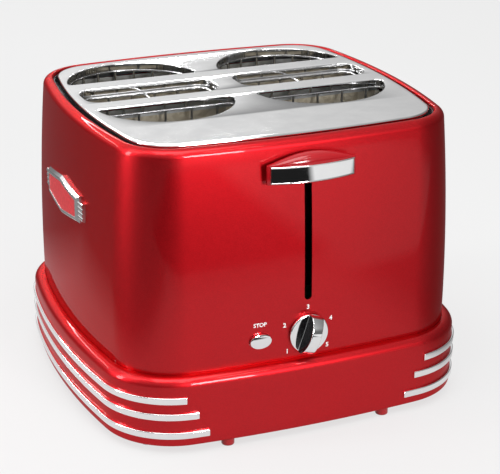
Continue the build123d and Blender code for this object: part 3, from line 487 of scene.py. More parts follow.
def eased(piece, width, steps=2, limit=30.0):
    """Rounds the piece's edges."""
    change = piece.modifiers.new("ease", "BEVEL")
    change.width = width
    change.segments = steps
    change.limit_method = "ANGLE"
    change.angle_limit = radians(limit)
    return shown(piece.name, mesh_taken(piece))


def trimmed(piece, place, outward):
    """Cuts the piece at a plane, drops what lies outward of it and closes the cut."""
    shape = bmesh.new()
    shape.from_mesh(piece.data)
    everything = shape.verts[:] + shape.edges[:] + shape.faces[:]
    done = bmesh.ops.bisect_plane(shape, geom=everything, plane_co=place, plane_no=outward, clear_outer=True)
    edges = [e for e in done["geom_cut"] if isinstance(e, bmesh.types.BMEdge)]
    bmesh.ops.edgeloop_fill(shape, edges=edges)
    bmesh.ops.recalc_face_normals(shape, faces=shape.faces)
    shape.to_mesh(piece.data)
    shape.free()
    piece.data.set_sharp_from_angle(angle=radians(30))


def add_spline(curve, points, closed=True):
    """Straight runs between points."""
    spline = curve.splines.new("POLY")
    spline.points.add(len(points) - 1)
    for point, place in zip(spline.points, points):
        point.co = (*place, 1)
    spline.use_cyclic_u = closed


def skin_of(mesh):
    return [tuple(v.co) for v in mesh.vertices], [tuple(face.vertices) for face in mesh.polygons]


def wires(name, runs):
    """Round wires along lists of points; each run is points, radius, closed or not."""
    skins = []
    for points, radius, closed in runs:
        curve = bpy.data.curves.new(name, "CURVE")
        curve.dimensions = "3D"
        curve.bevel_depth = radius
        curve.bevel_resolution = wire_sides
        curve.use_fill_caps = True
        add_spline(curve, points, closed)
        skins.append(skin_of(mesh_taken(placed(name, curve))))
    return built(name, *together(*skins), sharp=40)


def dressed(piece, body, slot, *nodes, finish=None):
    """Gives a piece its body, a finish, by rule its slot's own, and the nodes that it stands for."""
    piece.data.materials.clear()
    piece.data.materials.append(finish or finishes[slot])
    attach(piece, body)
    if nodes:
        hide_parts(*nodes)
    return piece


# Materials

class Socket:
    """A node's output that sums, products and comparisons turn into Math nodes."""

    def __init__(self, finish, link):
        self.finish = finish
        self.link = link

    def worked(self, operation, first, second=0.0):
        values = {0: first, 1: second}
        return self.finish.node("ShaderNodeMath", {"operation": operation}, values).out(0)

    def __add__(self, other):
        return self.worked("ADD", self, other)

    __radd__ = __add__

    def __rsub__(self, other):
        return self.worked("SUBTRACT", other, self)

    def __mul__(self, other):
        return self.worked("MULTIPLY", self, other)

    __rmul__ = __mul__

    def __truediv__(self, other):
        return self.worked("DIVIDE", self, other)

    def __gt__(self, other):
        return self.worked("GREATER_THAN", self, other)

    def __abs__(self):
        return self.worked("ABSOLUTE", self)


class Node:
    def __init__(self, finish, made):
        self.finish = finish
        self.made = made

    def out(self, name):
        return Socket(self.finish, self.made.outputs[name])


class Finish:
    """A material that is being put together."""

    def __init__(self, tree):
        self.tree = tree
        self.tree.nodes.clear()

    def node(self, kind, settings=None, sockets=None):
        made = self.tree.nodes.new(kind)
        for name, value in (settings or {}).items():
            setattr(made, name, value)
        for name, value in (sockets or {}).items():
            if isinstance(value, Socket):
                self.tree.links.new(value.link, made.inputs[name])
            else:
                made.inputs[name].default_value = value
        return Node(self, made)

    def place(self):
        return self.node("ShaderNodeTexCoord").out("Object")

    def noise(self, scale, detail=2.0, roughness=0.5):
        sockets = {"Vector": self.place(), "Scale": scale, "Detail": detail, "Roughness": roughness}
        return self.node("ShaderNodeTexNoise", None, sockets).out("Fac")

    def cells(self, scale, feature="F1", output="Distance"):
        sockets = {"Vector": self.place(), "Scale": scale}
        return self.node("ShaderNodeTexVoronoi", {"feature": feature}, sockets).out(output)

    def cell_shades(self, scale):
        """A value of its own for each cell."""
        colour = self.cells(scale, output="Color")
        return self.node("ShaderNodeSeparateColor", None, {0: colour}).out(0)

    def axes(self, vector):
        parts = self.node("ShaderNodeSeparateXYZ", None, {0: vector})
        return [parts.out(axis) for axis in "XYZ"]

    def blend(self, share, first, second):
        sockets = {0: share, 6: first, 7: second}
        return self.node("ShaderNodeMix", {"data_type": "RGBA"}, sockets).out(2)

    def grey(self, level):
        return self.blend(level, (0, 0, 0, 1), (1, 1, 1, 1))

    def spread(self, value, low, high, to_low=0.0, to_high=1.0):
        sockets = {0: value, 1: low, 2: high, 3: to_low, 4: to_high}
        return self.node("ShaderNodeMapRange", {"clamp": True}, sockets).out(0)

    def bump(self, height, depth, strength=1.0):
        sockets = {"Height": height, "Distance": depth, "Strength": strength}
        return self.node("ShaderNodeBump", None, sockets).out("Normal")

    def surface(self, sockets):
        shader = self.node("ShaderNodeBsdfPrincipled", None, sockets).out("BSDF")
        self.node("ShaderNodeOutputMaterial", None, {"Surface": shader})


def red_metallic_paint(f):
    """Deep red lacquer over fine metal flake, with a clear coat that has a faint orange peel."""
    glint = f.cell_shades(2600.0)
    broad = f.noise(14.0, 3.0)
    tone = f.blend(f.spread(glint, 0.0, 1.0, 0.15, 0.85), (0.41, 0.008, 0.012, 1), (0.56, 0.011, 0.017, 1))
    tone = f.blend(f.spread(broad, 0.3, 0.7, 0.0, 0.16), tone, (0.60, 0.004, 0.008, 1))
    peel = f.noise(420.0, 1.0)
    f.surface({"Base Color": tone, "Metallic": 0.96, "Roughness": f.spread(glint, 0.0, 1.0, 0.36, 0.44),
               "Specular Tint": (0.80, 0.25, 0.28, 1), "Coat Weight": 0.35, "Coat Roughness": 0.02,
               "Coat IOR": 1.5, "Normal": f.bump(peel, 0.00002, 0.2)})


def polished_plate(f):
    """Mirror-polished steel with very fine wipe marks."""
    smear = f.noise(55.0, 4.0, 0.6)
    tone = f.blend(f.spread(smear, 0.35, 0.65), (0.74, 0.74, 0.745, 1), (0.80, 0.80, 0.80, 1))
    f.surface({"Base Color": tone, "Metallic": 1.0, "Roughness": f.spread(smear, 0.3, 0.7, 0.035, 0.075)})


def bright_chrome(f):
    """Plated trim, clean, with the faintest haze."""
    haze = f.noise(160.0, 3.0)
    tone = f.blend(haze, (0.86, 0.86, 0.87, 1), (0.92, 0.92, 0.92, 1))
    f.surface({"Base Color": tone, "Metallic": 1.0, "Roughness": f.spread(haze, 0.3, 0.7, 0.03, 0.07)})


def badge_red(f):
    """Pebbled red enamel in the badges."""
    pebble = f.cells(520.0)
    tone = f.blend(f.spread(pebble, 0.0, 0.6), (0.95, 0.035, 0.050, 1), (0.75, 0.015, 0.025, 1))
    f.surface({"Base Color": tone, "Metallic": 0.25, "Roughness": 0.34, "Coat Weight": 0.3,
               "Coat Roughness": 0.05, "Normal": f.bump(pebble, 0.0002, 0.6)})


def moulded(f, colour, roughness):
    """Moulded plastic with a fine grain."""
    speck = f.noise(1400.0)
    darker = (*(c * 0.82 for c in colour[:3]), 1)
    tone = f.blend(f.spread(speck, 0.3, 0.7), darker, colour)
    f.surface({"Base Color": tone, "Roughness": f.spread(speck, 0.3, 0.7, roughness - 0.05, roughness + 0.05),
               "Normal": f.bump(speck, 0.00003, 0.4)})


def zinc_coat(f):
    """Zinc-coated sheet with soft crystals."""
    crystal = f.cell_shades(90.0)
    tone = f.blend(crystal, (0.50, 0.51, 0.52, 1), (0.66, 0.67, 0.68, 1))
    f.surface({"Base Color": tone, "Metallic": 1.0, "Roughness": f.spread(crystal, 0.0, 1.0, 0.30, 0.44)})


def worked_metal(f, colour, roughness):
    """Ground or drawn metal."""
    grain = f.noise(300.0, 5.0, 0.6)
    darker = (*(c * 0.78 for c in colour[:3]), 1)
    tone = f.blend(f.spread(grain, 0.3, 0.7), darker, colour)
    f.surface({"Base Color": tone, "Metallic": 1.0,
               "Roughness": f.spread(grain, 0.3, 0.7, roughness - 0.06, roughness + 0.06)})


def mica_board(f):
    """Pressed mica board, mottled."""
    patch = f.cell_shades(260.0)
    tone = f.blend(patch, (0.50, 0.43, 0.31, 1), (0.70, 0.63, 0.50, 1))
    f.surface({"Base Color": tone, "Roughness": f.spread(patch, 0.0, 1.0, 0.35, 0.6), "Coat Weight": 0.2})


def copper_winding(f):
    """Enamelled wire, wound in level turns, with painted shade in the grooves between the turns."""
    half_turn = 0.0003
    z = f.axes(f.place())[2]
    turn = f.node("ShaderNodeMath", {"operation": "PINGPONG"}, {0: z, 1: half_turn}).out(0) / half_turn
    # Painted shade: the colour runs from bright copper on each turn's crest to dark in the grooves between
    # turns, following the bump.
    tone = f.blend(turn, (0.22, 0.07, 0.02, 1), (0.72, 0.30, 0.12, 1))
    f.surface({"Base Color": tone, "Metallic": 0.9, "Roughness": 0.35, "Normal": f.bump(turn, 0.00012)})


def green_board(f):
    """Solder mask over copper tracks."""
    track = f.cells(120.0, feature="DISTANCE_TO_EDGE")
    tone = f.blend(track > 0.05, (0.02, 0.11, 0.045, 1), (0.005, 0.05, 0.018, 1))
    f.surface({"Base Color": tone, "Roughness": 0.35, "Coat Weight": 0.5})


def white_print(f):
    """Printed white ink, slightly uneven."""
    tone = f.blend(f.noise(900.0), (0.92, 0.91, 0.91, 1), (0.97, 0.97, 0.97, 1))
    f.surface({"Base Color": tone, "Roughness": 0.45})


def finished(name, recipe, *values):
    """A material that one of the recipes fills."""
    material = bpy.data.materials.new(name)
    material.use_nodes = True
    recipe(Finish(material.node_tree), *values)
    return material


# Finish of each material slot, then those that only single pieces wear
recipes = {
    "red_metallic_paint": (red_metallic_paint,),
    "polished_plate": (polished_plate,),
    "bright_trim": (bright_chrome,),
    "badge_red": (badge_red,),
    "black_plastic": (moulded, (0.022, 0.022, 0.024, 1), 0.42),
    "foot_plastic": (moulded, (0.42, 0.012, 0.016, 1), 0.30),
    "zinc_sheet": (zinc_coat,),
    "wire": (worked_metal, (0.72, 0.72, 0.73, 1), 0.16),
    "rod_steel": (worked_metal, (0.62, 0.62, 0.64, 1), 0.24),
    "mica": (mica_board,),
    "ribbon": (worked_metal, (0.34, 0.31, 0.29, 1), 0.42),
    "soft_iron": (worked_metal, (0.30, 0.30, 0.31, 1), 0.45),
    "copper_winding": (copper_winding,),
    "green_board": (green_board,),
    "white_ceramic": (moulded, (0.80, 0.79, 0.75, 1), 0.50),
    "spring_steel": (worked_metal, (0.46, 0.46, 0.48, 1), 0.26),
    "red_moulding": (moulded, (0.38, 0.006, 0.011, 1), 0.13),
    "gloss_black": (moulded, (0.006, 0.006, 0.007, 1), 0.12),
    "white_print": (white_print,),
}
finishes = {name: finished(name, *recipe) for name, recipe in recipes.items()}


# Body shell

def shell_section():
    """Wall, rolled rim, inner lip, inner wall and foot flange, as one closed line."""
    level, reach = rim_level, rim_reach
    middle = crown_reach - crown_radius
    tilt = degrees(atan2(level - crown_level, reach - middle))
    foot_tilt = degrees(asin((shell_foot - crown_level) / crown_radius))
    inner_radius = crown_radius - shell_wall
    flange_top = shell_foot + shell_wall
    inner_tilt = degrees(asin((flange_top - crown_level) / inner_radius))
    line = arc(middle, crown_level, crown_radius, foot_tilt, tilt, wall_steps)
    line += arc(reach, level, rim_round, tilt, 90, 14)[1:]
    lip = reach - rim_gap
    line += arc(reach, rim_top - lip, lip, 90, 180, 8)[1:]
    line += [(rim_gap, ring_top), (rim_gap + shell_wall, ring_top)]
    inner_round = rim_round - shell_wall
    turn = degrees(acos((rim_gap + shell_wall - reach) / inner_round))
    line += arc(reach, level, inner_round, turn, tilt, 10)
    line += arc(middle, crown_level, inner_radius, tilt, inner_tilt, wall_steps)[1:]
    flange_edge = wall_reach(shell_foot) - shell_wall - shell_flange_width
    line += [(flange_edge, flange_top), (flange_edge, shell_foot)]
    return line


def bar_cutter(name, loop, near, far):
    """Cutter from a loop of x and level, running between two distances in front of the middle."""
    rings = [[(x, -distance, z) for x, z in loop] for distance in (near, far)]
    return built(name, *loft(rings, caps=True))


def make_body_shell():
    shell = built("body_shell_skin", *plan_skin(shell_section()))
    half = slot_width / 2
    slot = arc(0, slot_head - half, half, 0, 180, 16) + arc(0, slot_foot + half, half, 180, 360, 16)
    shaft = arc(0, dial_level, shaft_hole_radius, 0, 360, 48)[:-1]
    wide, tall = stop_half_length + stop_hole_gap, stop_half_height + stop_hole_gap
    turns = [2 * pi * n / 64 for n in range(64)]
    oval = [(stop_x + wide * cos(a), stop_level + tall * sin(a)) for a in turns]
    near, far = plate_half_depth, plate_half_depth + 2 * crown_reach
    holes = (("slot_cutter", slot), ("shaft_cutter", shaft), ("button_cutter", oval))
    shell = cut(shell, [bar_cutter(name, loop, near, far) for name, loop in holes])
    dressed(shell, "housing", "red_metallic_paint", "body_shell")


# Openings of the top plate

def bun_loop(side, facing, inset):
    """Half-round opening, its flat edge towards the middle of its group."""
    radius, flat = bun_arc_radius - inset, bun_flat_shift + inset
    corner = bun_corner_radius - inset
    cx = sqrt((radius - corner) ** 2 - (flat + corner - bun_arc_shift) ** 2)
    cy = flat + corner
    lean = degrees(atan2(cy - bun_arc_shift, cx))
    line = arc(cx, cy, corner, -90, lean, 10)
    line += arc(0, bun_arc_shift, radius, lean, 180 - lean, 60)[1:]
    line += arc(-cx, cy, corner, 180 - lean, 270, 10)[1:]
    return [(side * group_x + facing * x, group_y + facing * y) for x, y in line]


def dog_loop(side, inset):
    """Oblong opening for one cage."""
    length, width = dog_slot_half_length - inset, dog_slot_half_width - inset
    corner = dog_slot_corner - inset
    line = []
    for turn, sx, sy in ((0, 1, 1), (90, -1, 1), (180, -1, -1), (270, 1, -1)):
        line += arc(sx * (length - corner), sy * (width - corner), corner, turn, turn + 90, 14)
    return [(side * group_x + x, group_y + y) for x, y in line]


def opening_loops(inset):
    loops = [bun_loop(side, facing, inset) for side in (-1, 1) for facing in (-1, 1)]
    return loops + [dog_loop(side, inset) for side in (-1, 1)]


def filled(loops, level):
    """Flat face inside the first loop and outside the others."""
    curve = bpy.data.curves.new("fill", "CURVE")
    curve.dimensions = "2D"
    curve.fill_mode = "BOTH"
    for loop in loops:
        add_spline(curve, [(x, y, 0) for x, y in loop])
    points, faces = skin_of(mesh_taken(placed("fill", curve)))
    return [(x, y, level) for x, y, z in points], faces


def make_top_plate():
    """Sheet with a rounded hem and a collar round each opening."""
    underside = plate_top - plate_sheet
    edge = opening_edge_round
    hem = [(-plate_hem_land, plate_top)]
    hem += arc(-plate_hem_round, plate_top - plate_hem_round, plate_hem_round, 90, 0, 6)
    hem += [(0, ring_top), (-plate_sheet, ring_top), (-plate_sheet, underside), (-plate_hem_land, underside)]
    outline = [(x - nx * plate_hem_land, y - ny * plate_hem_land) for x, y, nx, ny in plan_line()]
    skins = [plan_skin(hem, closed=False), filled([outline] + opening_loops(-edge), plate_top),
             filled([outline] + opening_loops(-plate_sheet), underside)]
    turns = [radians(a) for a in range(0, 91, 18)]
    collar = [(-edge + edge * sin(a), plate_top - edge + edge * cos(a)) for a in turns]
    collar_foot = plate_top - collar_depth
    collar += [(0, collar_foot), (-plate_sheet, collar_foot), (-plate_sheet, underside)]
    levels = [level for inset, level in collar]
    for loops in zip(*(opening_loops(inset) for inset, level in collar)):
        skins.append(loft([[(x, y, level) for x, y in loop] for loop, level in zip(loops, levels)]))
    plate = built("top_plate_skin", *together(*skins), sharp=40)
    dressed(plate, "housing", "polished_plate", "top_plate")


# Base skirt

def skirt_section():
    head = skirt_top - skirt_shoulder
    lip = wall_reach(skirt_top) + skirt_gap
    flange_top = foot_height + flange_sheet
    edge = skirt_edge_round
    line = [(flange_reach, foot_height)]
    line += arc(skirt_foot_reach - edge, foot_height + edge, edge, -90, 0, 6)
    line += [(skirt_reach(level / 1000), level / 1000) for level in range(12, 46, 6)]
    line += arc(skirt_head_reach - skirt_shoulder, head, skirt_shoulder, 0, 90, 14)
    line += [(lip, skirt_top), (lip, shell_foot), (ledge_reach, shell_foot)]
    line += [(ledge_reach, shell_foot - ledge_sheet), (skirt_head_reach - skirt_wall, shell_foot - ledge_sheet)]
    line += [(skirt_foot_reach - skirt_wall, flange_top), (flange_reach, flange_top)]
    return line


def make_base_skirt():
    skirt = built("base_skirt_skin", *plan_skin(skirt_section()))
    near, far = -plate_half_depth, -plate_half_depth - 2 * skirt_foot_reach
    wide, low, high = tray_window_half_width, cover_top, tray_window_high
    window = [(-wide, low), (wide, low), (wide, high), (-wide, high)]
    gland = arc(gland_x, gland_level, gland_sleeve_radius, 0, 360, 48)[:-1]
    holes = (("window_cutter", window), ("gland_cutter", gland))
    skirt = cut(skirt, [bar_cutter(name, loop, near, far) for name, loop in holes])
    dressed(skirt, "housing", "red_metallic_paint", "base_skirt")


def make_tray_pull():
    """Panel in the skirt's rear window, with its finger ledge."""
    levels = [tray_low + (tray_high - tray_low) * n / 6 for n in range(7)]
    rings = []
    for share in spaced(pull_steps):
        x = tray_panel_half_width * share
        outer = [(x, front_edge(x, skirt_reach(z)), z) for z in levels]
        rings.append(outer + [(x, tray_panel_front, z) for z in reversed(levels)])
    panel = loft(rings, caps=True)
    rear = front_edge(0, skirt_reach(tray_low))
    back, lip = rear - skirt_wall, pull_height / 2
    rings = []
    for share in spaced(pull_steps):
        out = rear + pull_reach * (1 - share ** pull_end_power)
        section = [(back, tray_low), (out - lip, tray_low)]
        section += arc(out - lip, tray_low + lip, lip, -90, 90, 8) + [(back, tray_low + pull_height)]
        rings.append([(pull_half_width * share, y, z) for y, z in section])
    pull = built("tray_pull_panel", *together(panel, loft(rings, caps=True)), sharp=35)
    dressed(eased(pull, pull_ease), "tray", "red_metallic_paint", "tray_pull")


# Trim strips

def make_trim_strips(side, name):
    """Three plated strips that wrap the corners of one side."""
    for index, (level, end) in enumerate(zip(strip_levels, strip_ends)):
        low, high = level - strip_height / 2, level + strip_height / 2
        low_reach, high_reach = skirt_reach(low), skirt_reach(high)
        section = [(low_reach - strip_round / 2, low)]
        section += arc(low_reach + strip_depth - strip_round, low + strip_round, strip_round, -90, 0, 6)
        section += arc(high_reach + strip_depth - strip_round, high - strip_round, strip_round, 0, 90, 6)
        section += [(high_reach - strip_round / 2, high)]
        strip = built(f"trim_strip_{name}_{index + 1}", *plan_skin(section))
        trimmed(strip, (side * end, 0, level), (-side, 0, 0))
        dressed(eased(strip, strip_ease, 3, 50), "housing", "bright_trim")
    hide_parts(f"trim_strips_{name}")


def make_feet():
    """Four turned feet."""
    y = front_edge(foot_x, foot_reach)
    profile = [(0.0, 0.0)] + arc(foot_radius - foot_round, foot_round, foot_round, -90, 0, 5)
    profile += [(foot_radius, foot_height), (0.0, foot_height)]
    places = [(sx * foot_x, sy * y, 0) for sx in (-1, 1) for sy in (-1, 1)]
    skins = [turned(profile, 40, Matrix.Translation(place)) for place in places]
    dressed(built("feet_turned", *together(*skins)), "housing", "foot_plastic", "feet")


# Badges

def badge_edge(y, grow):
    """Half height of the badge's outline, grown evenly, at a place along it."""
    return badge_half_height + grow / cos(badge_slope) - abs(y) * sin(badge_slope) / cos(badge_slope)


def badge_loop(grow, edge_steps=14):
    """Six-sided outline grown evenly, its edges divided so that it can follow the body."""
    x = badge_half_length + grow
    peak, end = badge_edge(0, grow), badge_edge(x, grow)
    corners = [(-x, -end), (0, -peak), (x, -end), (x, end), (0, peak), (-x, end)]
    line = []
    for (y0, z0), (y1, z1) in zip(corners, corners[1:] + corners[:1]):
        line += [(y0 + (y1 - y0) * n / edge_steps, z0 + (z1 - z0) * n / edge_steps) for n in range(edge_steps)]
    return line


def bowed_side(y, stand):
    """Distance from the middle to a face that stands off the side wall and follows its bow."""
    return side_edge(y, wall_reach(badge_level) + stand)


def badge_wing(side, end):
    """Skin of the fluted wing at one end of a badge."""
    pitch = 2 * wing_half_height / flute_count
    inner, outer = badge_half_length, badge_half_length + badge_bevel + wing_length
    rings = []
    for n in range(wing_steps + 1):
        y = end * (inner + (outer - inner) * n / wing_steps)
        sunk = side_edge(y, wall_reach(badge_level)) - 2 * badge_soft
        ring = [(sunk, badge_level - wing_half_height)]
        for k in range(flute_count):
            z = badge_level - wing_half_height + (k + 0.5) * pitch
            for a in range(-flute_sweep, flute_sweep + 1, 20):
                rise = bowed_side(y, wing_stand - flute_depth) + flute_depth * cos(radians(a))
                ring.append((rise, z + pitch / 2 * sin(radians(a)) / sin(radians(flute_sweep))))
        ring.append((sunk, badge_level + wing_half_height))
        rings.append([(side * x, y, z) for x, z in ring])
    return loft(rings, caps=True)


def make_badge_frame(side, name):
    """Bevelled frame with fluted wings, bowed like the side."""
    soft = badge_soft
    steps = [(badge_bevel, badge_stand - badge_bevel - soft), (badge_bevel - soft, badge_stand - badge_bevel),
             (soft, badge_stand - soft), (-soft, badge_stand), (soft - badge_rim, badge_stand),
             (-badge_rim, badge_stand - soft), (-badge_rim, badge_stand - badge_pocket - badge_insert_sheet)]
    foot = [(side_edge(y, wall_reach(badge_level + z)) - soft, y, z) for y, z in badge_loop(badge_bevel)]
    rings = [foot] + [[(bowed_side(y, stand), y, z) for y, z in badge_loop(grow)] for grow, stand in steps]
    frame_skin = loft([[(side * x, y, badge_level + z) for x, y, z in ring] for ring in rings])
    skins = [frame_skin, badge_wing(side, -1), badge_wing(side, 1)]
    bezel = built(f"badge_frame_{name}", *together(*skins), sharp=9)
    dressed(bezel, "housing", "bright_trim", f"badge_bezel_{name}")


def make_badge_insert(side, name):
    """Pebbled panel in the badge's pocket, bowed like the side."""
    ease = badge_insert_ease
    floor = badge_stand - badge_pocket
    front = floor + badge_insert_sheet
    levels = [(-badge_rim, floor), (-badge_rim, front - ease), (-badge_rim - ease, front)]
    rings = [[(side * bowed_side(y, stand), y, badge_level + z) for y, z in badge_loop(grow)]
             for grow, stand in levels]
    panel = []
    for share in spaced(14):
        y = share * (badge_half_length - badge_rim - ease)
        tall = badge_edge(y, -badge_rim - ease)
        panel.append([(side * bowed_side(y, front), y, badge_level + tall * k / 4) for k in range(-4, 5)])
    insert = built(f"badge_panel_{name}", *together(loft(rings), loft(panel, around=False)), sharp=25)
    dressed(insert, "housing", "badge_red", f"badge_insert_{name}")


# Lever

def bow_front(x, front):
    """Distance to the bowed front at a place across the handle."""
    centre = face_front - face_bow_radius
    return centre + sqrt((front - centre) ** 2 - x ** 2)


def make_lever_handle():
    """Moulded body: bowed front, hood that rises to the back and falls to both ends."""
    front, foot = face_front - face_sheet, handle_foot
    shoulder = foot + handle_front_height
    rings = []
    for place in spaced(96):
        share = sin(pi / 2 * place)
        x = handle_half_width * share
        y = bow_front(x, front)
        arch = max(1 - share ** 2, 0) ** hood_end_ease
        rise = max(hood_rise * arch, hood_least_rise)
        ring = [(x, -handle_back, foot), (x, -y, foot), (x, -y, shoulder)]
        for a in range(6, 91, 6):
            deep = sin(radians(a)) ** (2 / hood_fullness)
            across = cos(radians(a)) ** (2 / hood_fullness)
            ring.append((x, -handle_back - (y - handle_back) * across, shoulder + rise * deep))
        rings.append(ring)
    handle = built("lever_handle_body", *loft(rings, caps=True), sharp=35)
    dressed(eased(handle, handle_ease, 3, 40), "carriage", "red_moulding", "lever_handle")


def make_lever_face():
    """Plated bowed plate with a raised lip along its top and bottom edges."""
    low, high = handle_foot + face_margin, handle_foot + handle_front_height - face_margin
    section = [(face_sheet, low)] + [(depth, low + rise) for depth, rise in face_lip_line]
    section += [(depth, high - drop) for depth, drop in reversed(face_lip_line)] + [(face_sheet, high)]
    rings = []
    for share in spaced(64):
        x = face_half_width * share
        rings.append([(x, -bow_front(x, face_front - depth), z) for depth, z in section])
    face = built("lever_face_plate", *loft(rings, caps=True), sharp=40)
    dressed(eased(face, face_ease, 2, 60), "carriage", "bright_trim", "lever_face")


# Dial and button

def knob_place():
    """Matrix that sets the knob on the wall and turns it."""
    back = front_edge(0, wall_reach(dial_level)) + knob_gap
    return facing_front(0, back, dial_level) @ Matrix.Rotation(radians(-dial_turn), 4, "Z")


def grip_half(height):
    """Half thickness of the grip at a height over the flange."""
    return grip_half_width - (grip_half_width - grip_head_half_width) * height / grip_rise


def make_timer_knob():
    """Flange with a raised half-disc grip whose two sides draw in towards the front."""
    edge = knob_flange_round
    profile = [(0.0, 0.0), (knob_radius - edge / 2, 0.0)]
    profile += arc(knob_radius - edge, knob_flange - edge, edge, -20, 90, 8)
    profile += [(knob_radius - knob_flange_land, knob_flange), (0.0, knob_flange)]
    place = knob_place()
    foot = Vector((0, 0, knob_flange - grip_sunk))
    rings = []
    for share in spaced(knob_steps):
        s = (knob_radius - edge / 2) * sin(pi / 2 * share)
        height = grip_rise * sqrt(1 - (s / knob_radius) ** 2)
        half = grip_half(height)
        r = min(grip_round, height * grip_round_share)
        section = [(-grip_half_width, 0.0)] + arc(-half + r, height - r, r, 175, 90, 5)
        section += arc(half - r, height - r, r, 90, 5, 5) + [(grip_half_width, 0.0)]
        rings.append([place @ (foot + Vector((x, s, h))) for x, h in section])
    skins = [turned(profile, 96, place), loft(rings, caps=True)]
    dressed(built("timer_knob_grip", *together(*skins), sharp=32), "dial", "bright_trim", "timer_knob")


def make_knob_dark_faces():
    """Glossy black faces on the two sides of the grip."""
    # Thin gloss black sheets laid on both sides of the grip, just proud of the chrome.
    place = knob_place()
    rim = []
    for share in spaced(knob_steps):
        s = (knob_radius - dark_face_margin) * sin(pi / 2 * share)
        rim.append((s, dark_face_margin + (grip_rise - dark_face_drop) * sqrt(1 - (s / knob_radius) ** 2)))
    rim += [(knob_radius - dark_face_corner, dark_face_margin), (dark_face_corner - knob_radius, dark_face_margin)]
    skins = []
    for side in (-1, 1):
        layers = []
        for stand in (-dark_face_stand, dark_face_stand):
            layers.append([place @ Vector((side * (grip_half(h) + stand), s, knob_flange + h)) for s, h in rim])
        skins.append(loft(layers, caps=True))
    dark_faces = built("timer_knob_dark_side_faces", *together(*skins), sharp=32)
    dressed(dark_faces, "dial", "black_plastic", finish=finishes["gloss_black"])


def dome_drop(r):
    return stop_dome_radius - sqrt(stop_dome_radius ** 2 - r ** 2)


def make_stop_button():
    """Oval dome with a softened edge, collar and stem."""
    front = front_edge(stop_x, wall_reach(stop_level)) + stop_stand
    rim = front - dome_drop(stop_half_length)
    back = -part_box("stop_button")[1].y
    collar_back = front_edge(stop_x, wall_reach(stop_level) - shell_wall) - stop_collar_depth
    collar_front, collar_edge = collar_back + stop_collar, stop_half_length + stop_collar
    radii = [stop_half_length * n / 16 for n in range(16)]
    profile = [(r, front - dome_drop(r)) for r in radii]
    profile += [(stop_half_length - inset, rim - drop) for inset, drop in stop_rim_line]
    profile += [(stop_half_length, collar_front), (collar_edge, collar_front), (collar_edge, collar_back),
                (0.0, collar_back)]
    place = facing_front(stop_x, 0, stop_level)
    stem = [(0.0, collar_back), (stop_stem_radius, collar_back), (stop_stem_radius, back), (0.0, back)]
    skins = [turned(profile, 72, place, stop_half_height / stop_half_length), turned(stem, 32, place)]
    dressed(built("stop_button_dome", *together(*skins), sharp=40), "stop", "bright_trim", "stop_button")


def printed(name, text, x, level, height):
    """Flat lettering laid on the front wall."""
    curve = bpy.data.curves.new(name, "FONT")
    curve.body = text
    curve.align_x = "CENTER"
    curve.resolution_u = 6
    curve.offset = print_weight
    mesh = mesh_taken(placed(name, curve))
    across, up = [v.co.x for v in mesh.vertices], [v.co.y for v in mesh.vertices]
    left, right, low, high = min(across), max(across), min(up), max(up)
    scale = height / (high - low)
    shape = bmesh.new()
    shape.from_mesh(mesh)
    bmesh.ops.subdivide_edges(shape, edges=shape.edges[:], cuts=1)
    for v in shape.verts:
        px = x + (v.co.x - (left + right) / 2) * scale
        pz = level + (v.co.y - (high + low) / 2) * scale
        v.co = (px, -front_edge(px, wall_reach(pz)) - print_stand, pz)
    shape.to_mesh(mesh)
    shape.free()
    dressed(placed(name, mesh), "housing", "white_ceramic", finish=finishes["white_print"])


def make_printing():
    for n, angle in enumerate(digit_angles):
        a = radians(angle)
        printed(f"dial_number_{n + 1}", str(n + 1), digit_radius * sin(a), dial_level + digit_radius * cos(a),
                digit_height)
    printed("stop_word", "STOP", word_x, word_level, word_height)


# Wires

def make_bun_guard(side, facing, name):
    """Welded wire guard round one bun space."""
    inset = -guard_wire_radius
    radius, flat = bun_arc_radius - inset, bun_flat_shift + inset
    top = plate_top - collar_depth - guard_wire_radius
    loop = bun_loop(side, facing, inset)
    runs = [([(x, y, level) for x, y in loop], guard_wire_radius, True) for level in (guard_foot_level, top)]
    sweep = guard_arc_sweep / 2
    places = arc(0, bun_arc_shift, radius, 90 - sweep, 90 + sweep, guard_arc_wires - 1)
    for x, y in places + [(x, flat) for x in row(guard_flat_wires, guard_flat_pitch)]:
        px, py = side * group_x + facing * x, group_y + facing * y
        runs.append(([(px, py, guard_foot_level), (px, py, top)], guard_wire_radius, False))
    guard = wires(f"bun_guard_wires_{name}", runs)
    dressed(guard, "housing", "wire", f"bun_guard_{name}")


def make_cage(side, name):
    """Welded wire basket with two places."""
    inset = cage_gap + cage_wire_radius
    loop = dog_loop(side, inset)
    half_x, half_y = dog_slot_half_length - inset, dog_slot_half_width - inset
    middle, front, rear = side * group_x, group_y - half_y, group_y + half_y
    low, high = rack_level + cage_wire_radius, plate_top - cage_top_drop
    rise = (high - low) / cage_levels
    levels = [low + n * rise for n in range(cage_levels + 1)]
    runs = [([(x, y, level) for x, y in loop], cage_wire_radius, True) for level in levels]
    bars = [((middle, front, level), (middle, rear, level)) for level in levels[1:]]
    for x in row(cage_side_wires, cage_wire_pitch):
        bars += [((middle + x, y, low), (middle + x, y, high)) for y in (front, rear)]
    for x in row(cage_floor_wires, cage_wire_pitch):
        bars.append(((middle + x, front, low), (middle + x, rear, low)))
    bars += [((middle + x, group_y, low), (middle + x, group_y, high)) for x in (-half_x, half_x)]
    cage = wires(f"hot_dog_cage_wires_{name}", runs + [(bar, cage_bar_radius, False) for bar in bars])
    dressed(cage, f"cage_{name}", "wire", f"hot_dog_cage_{name}")


# Cord gland

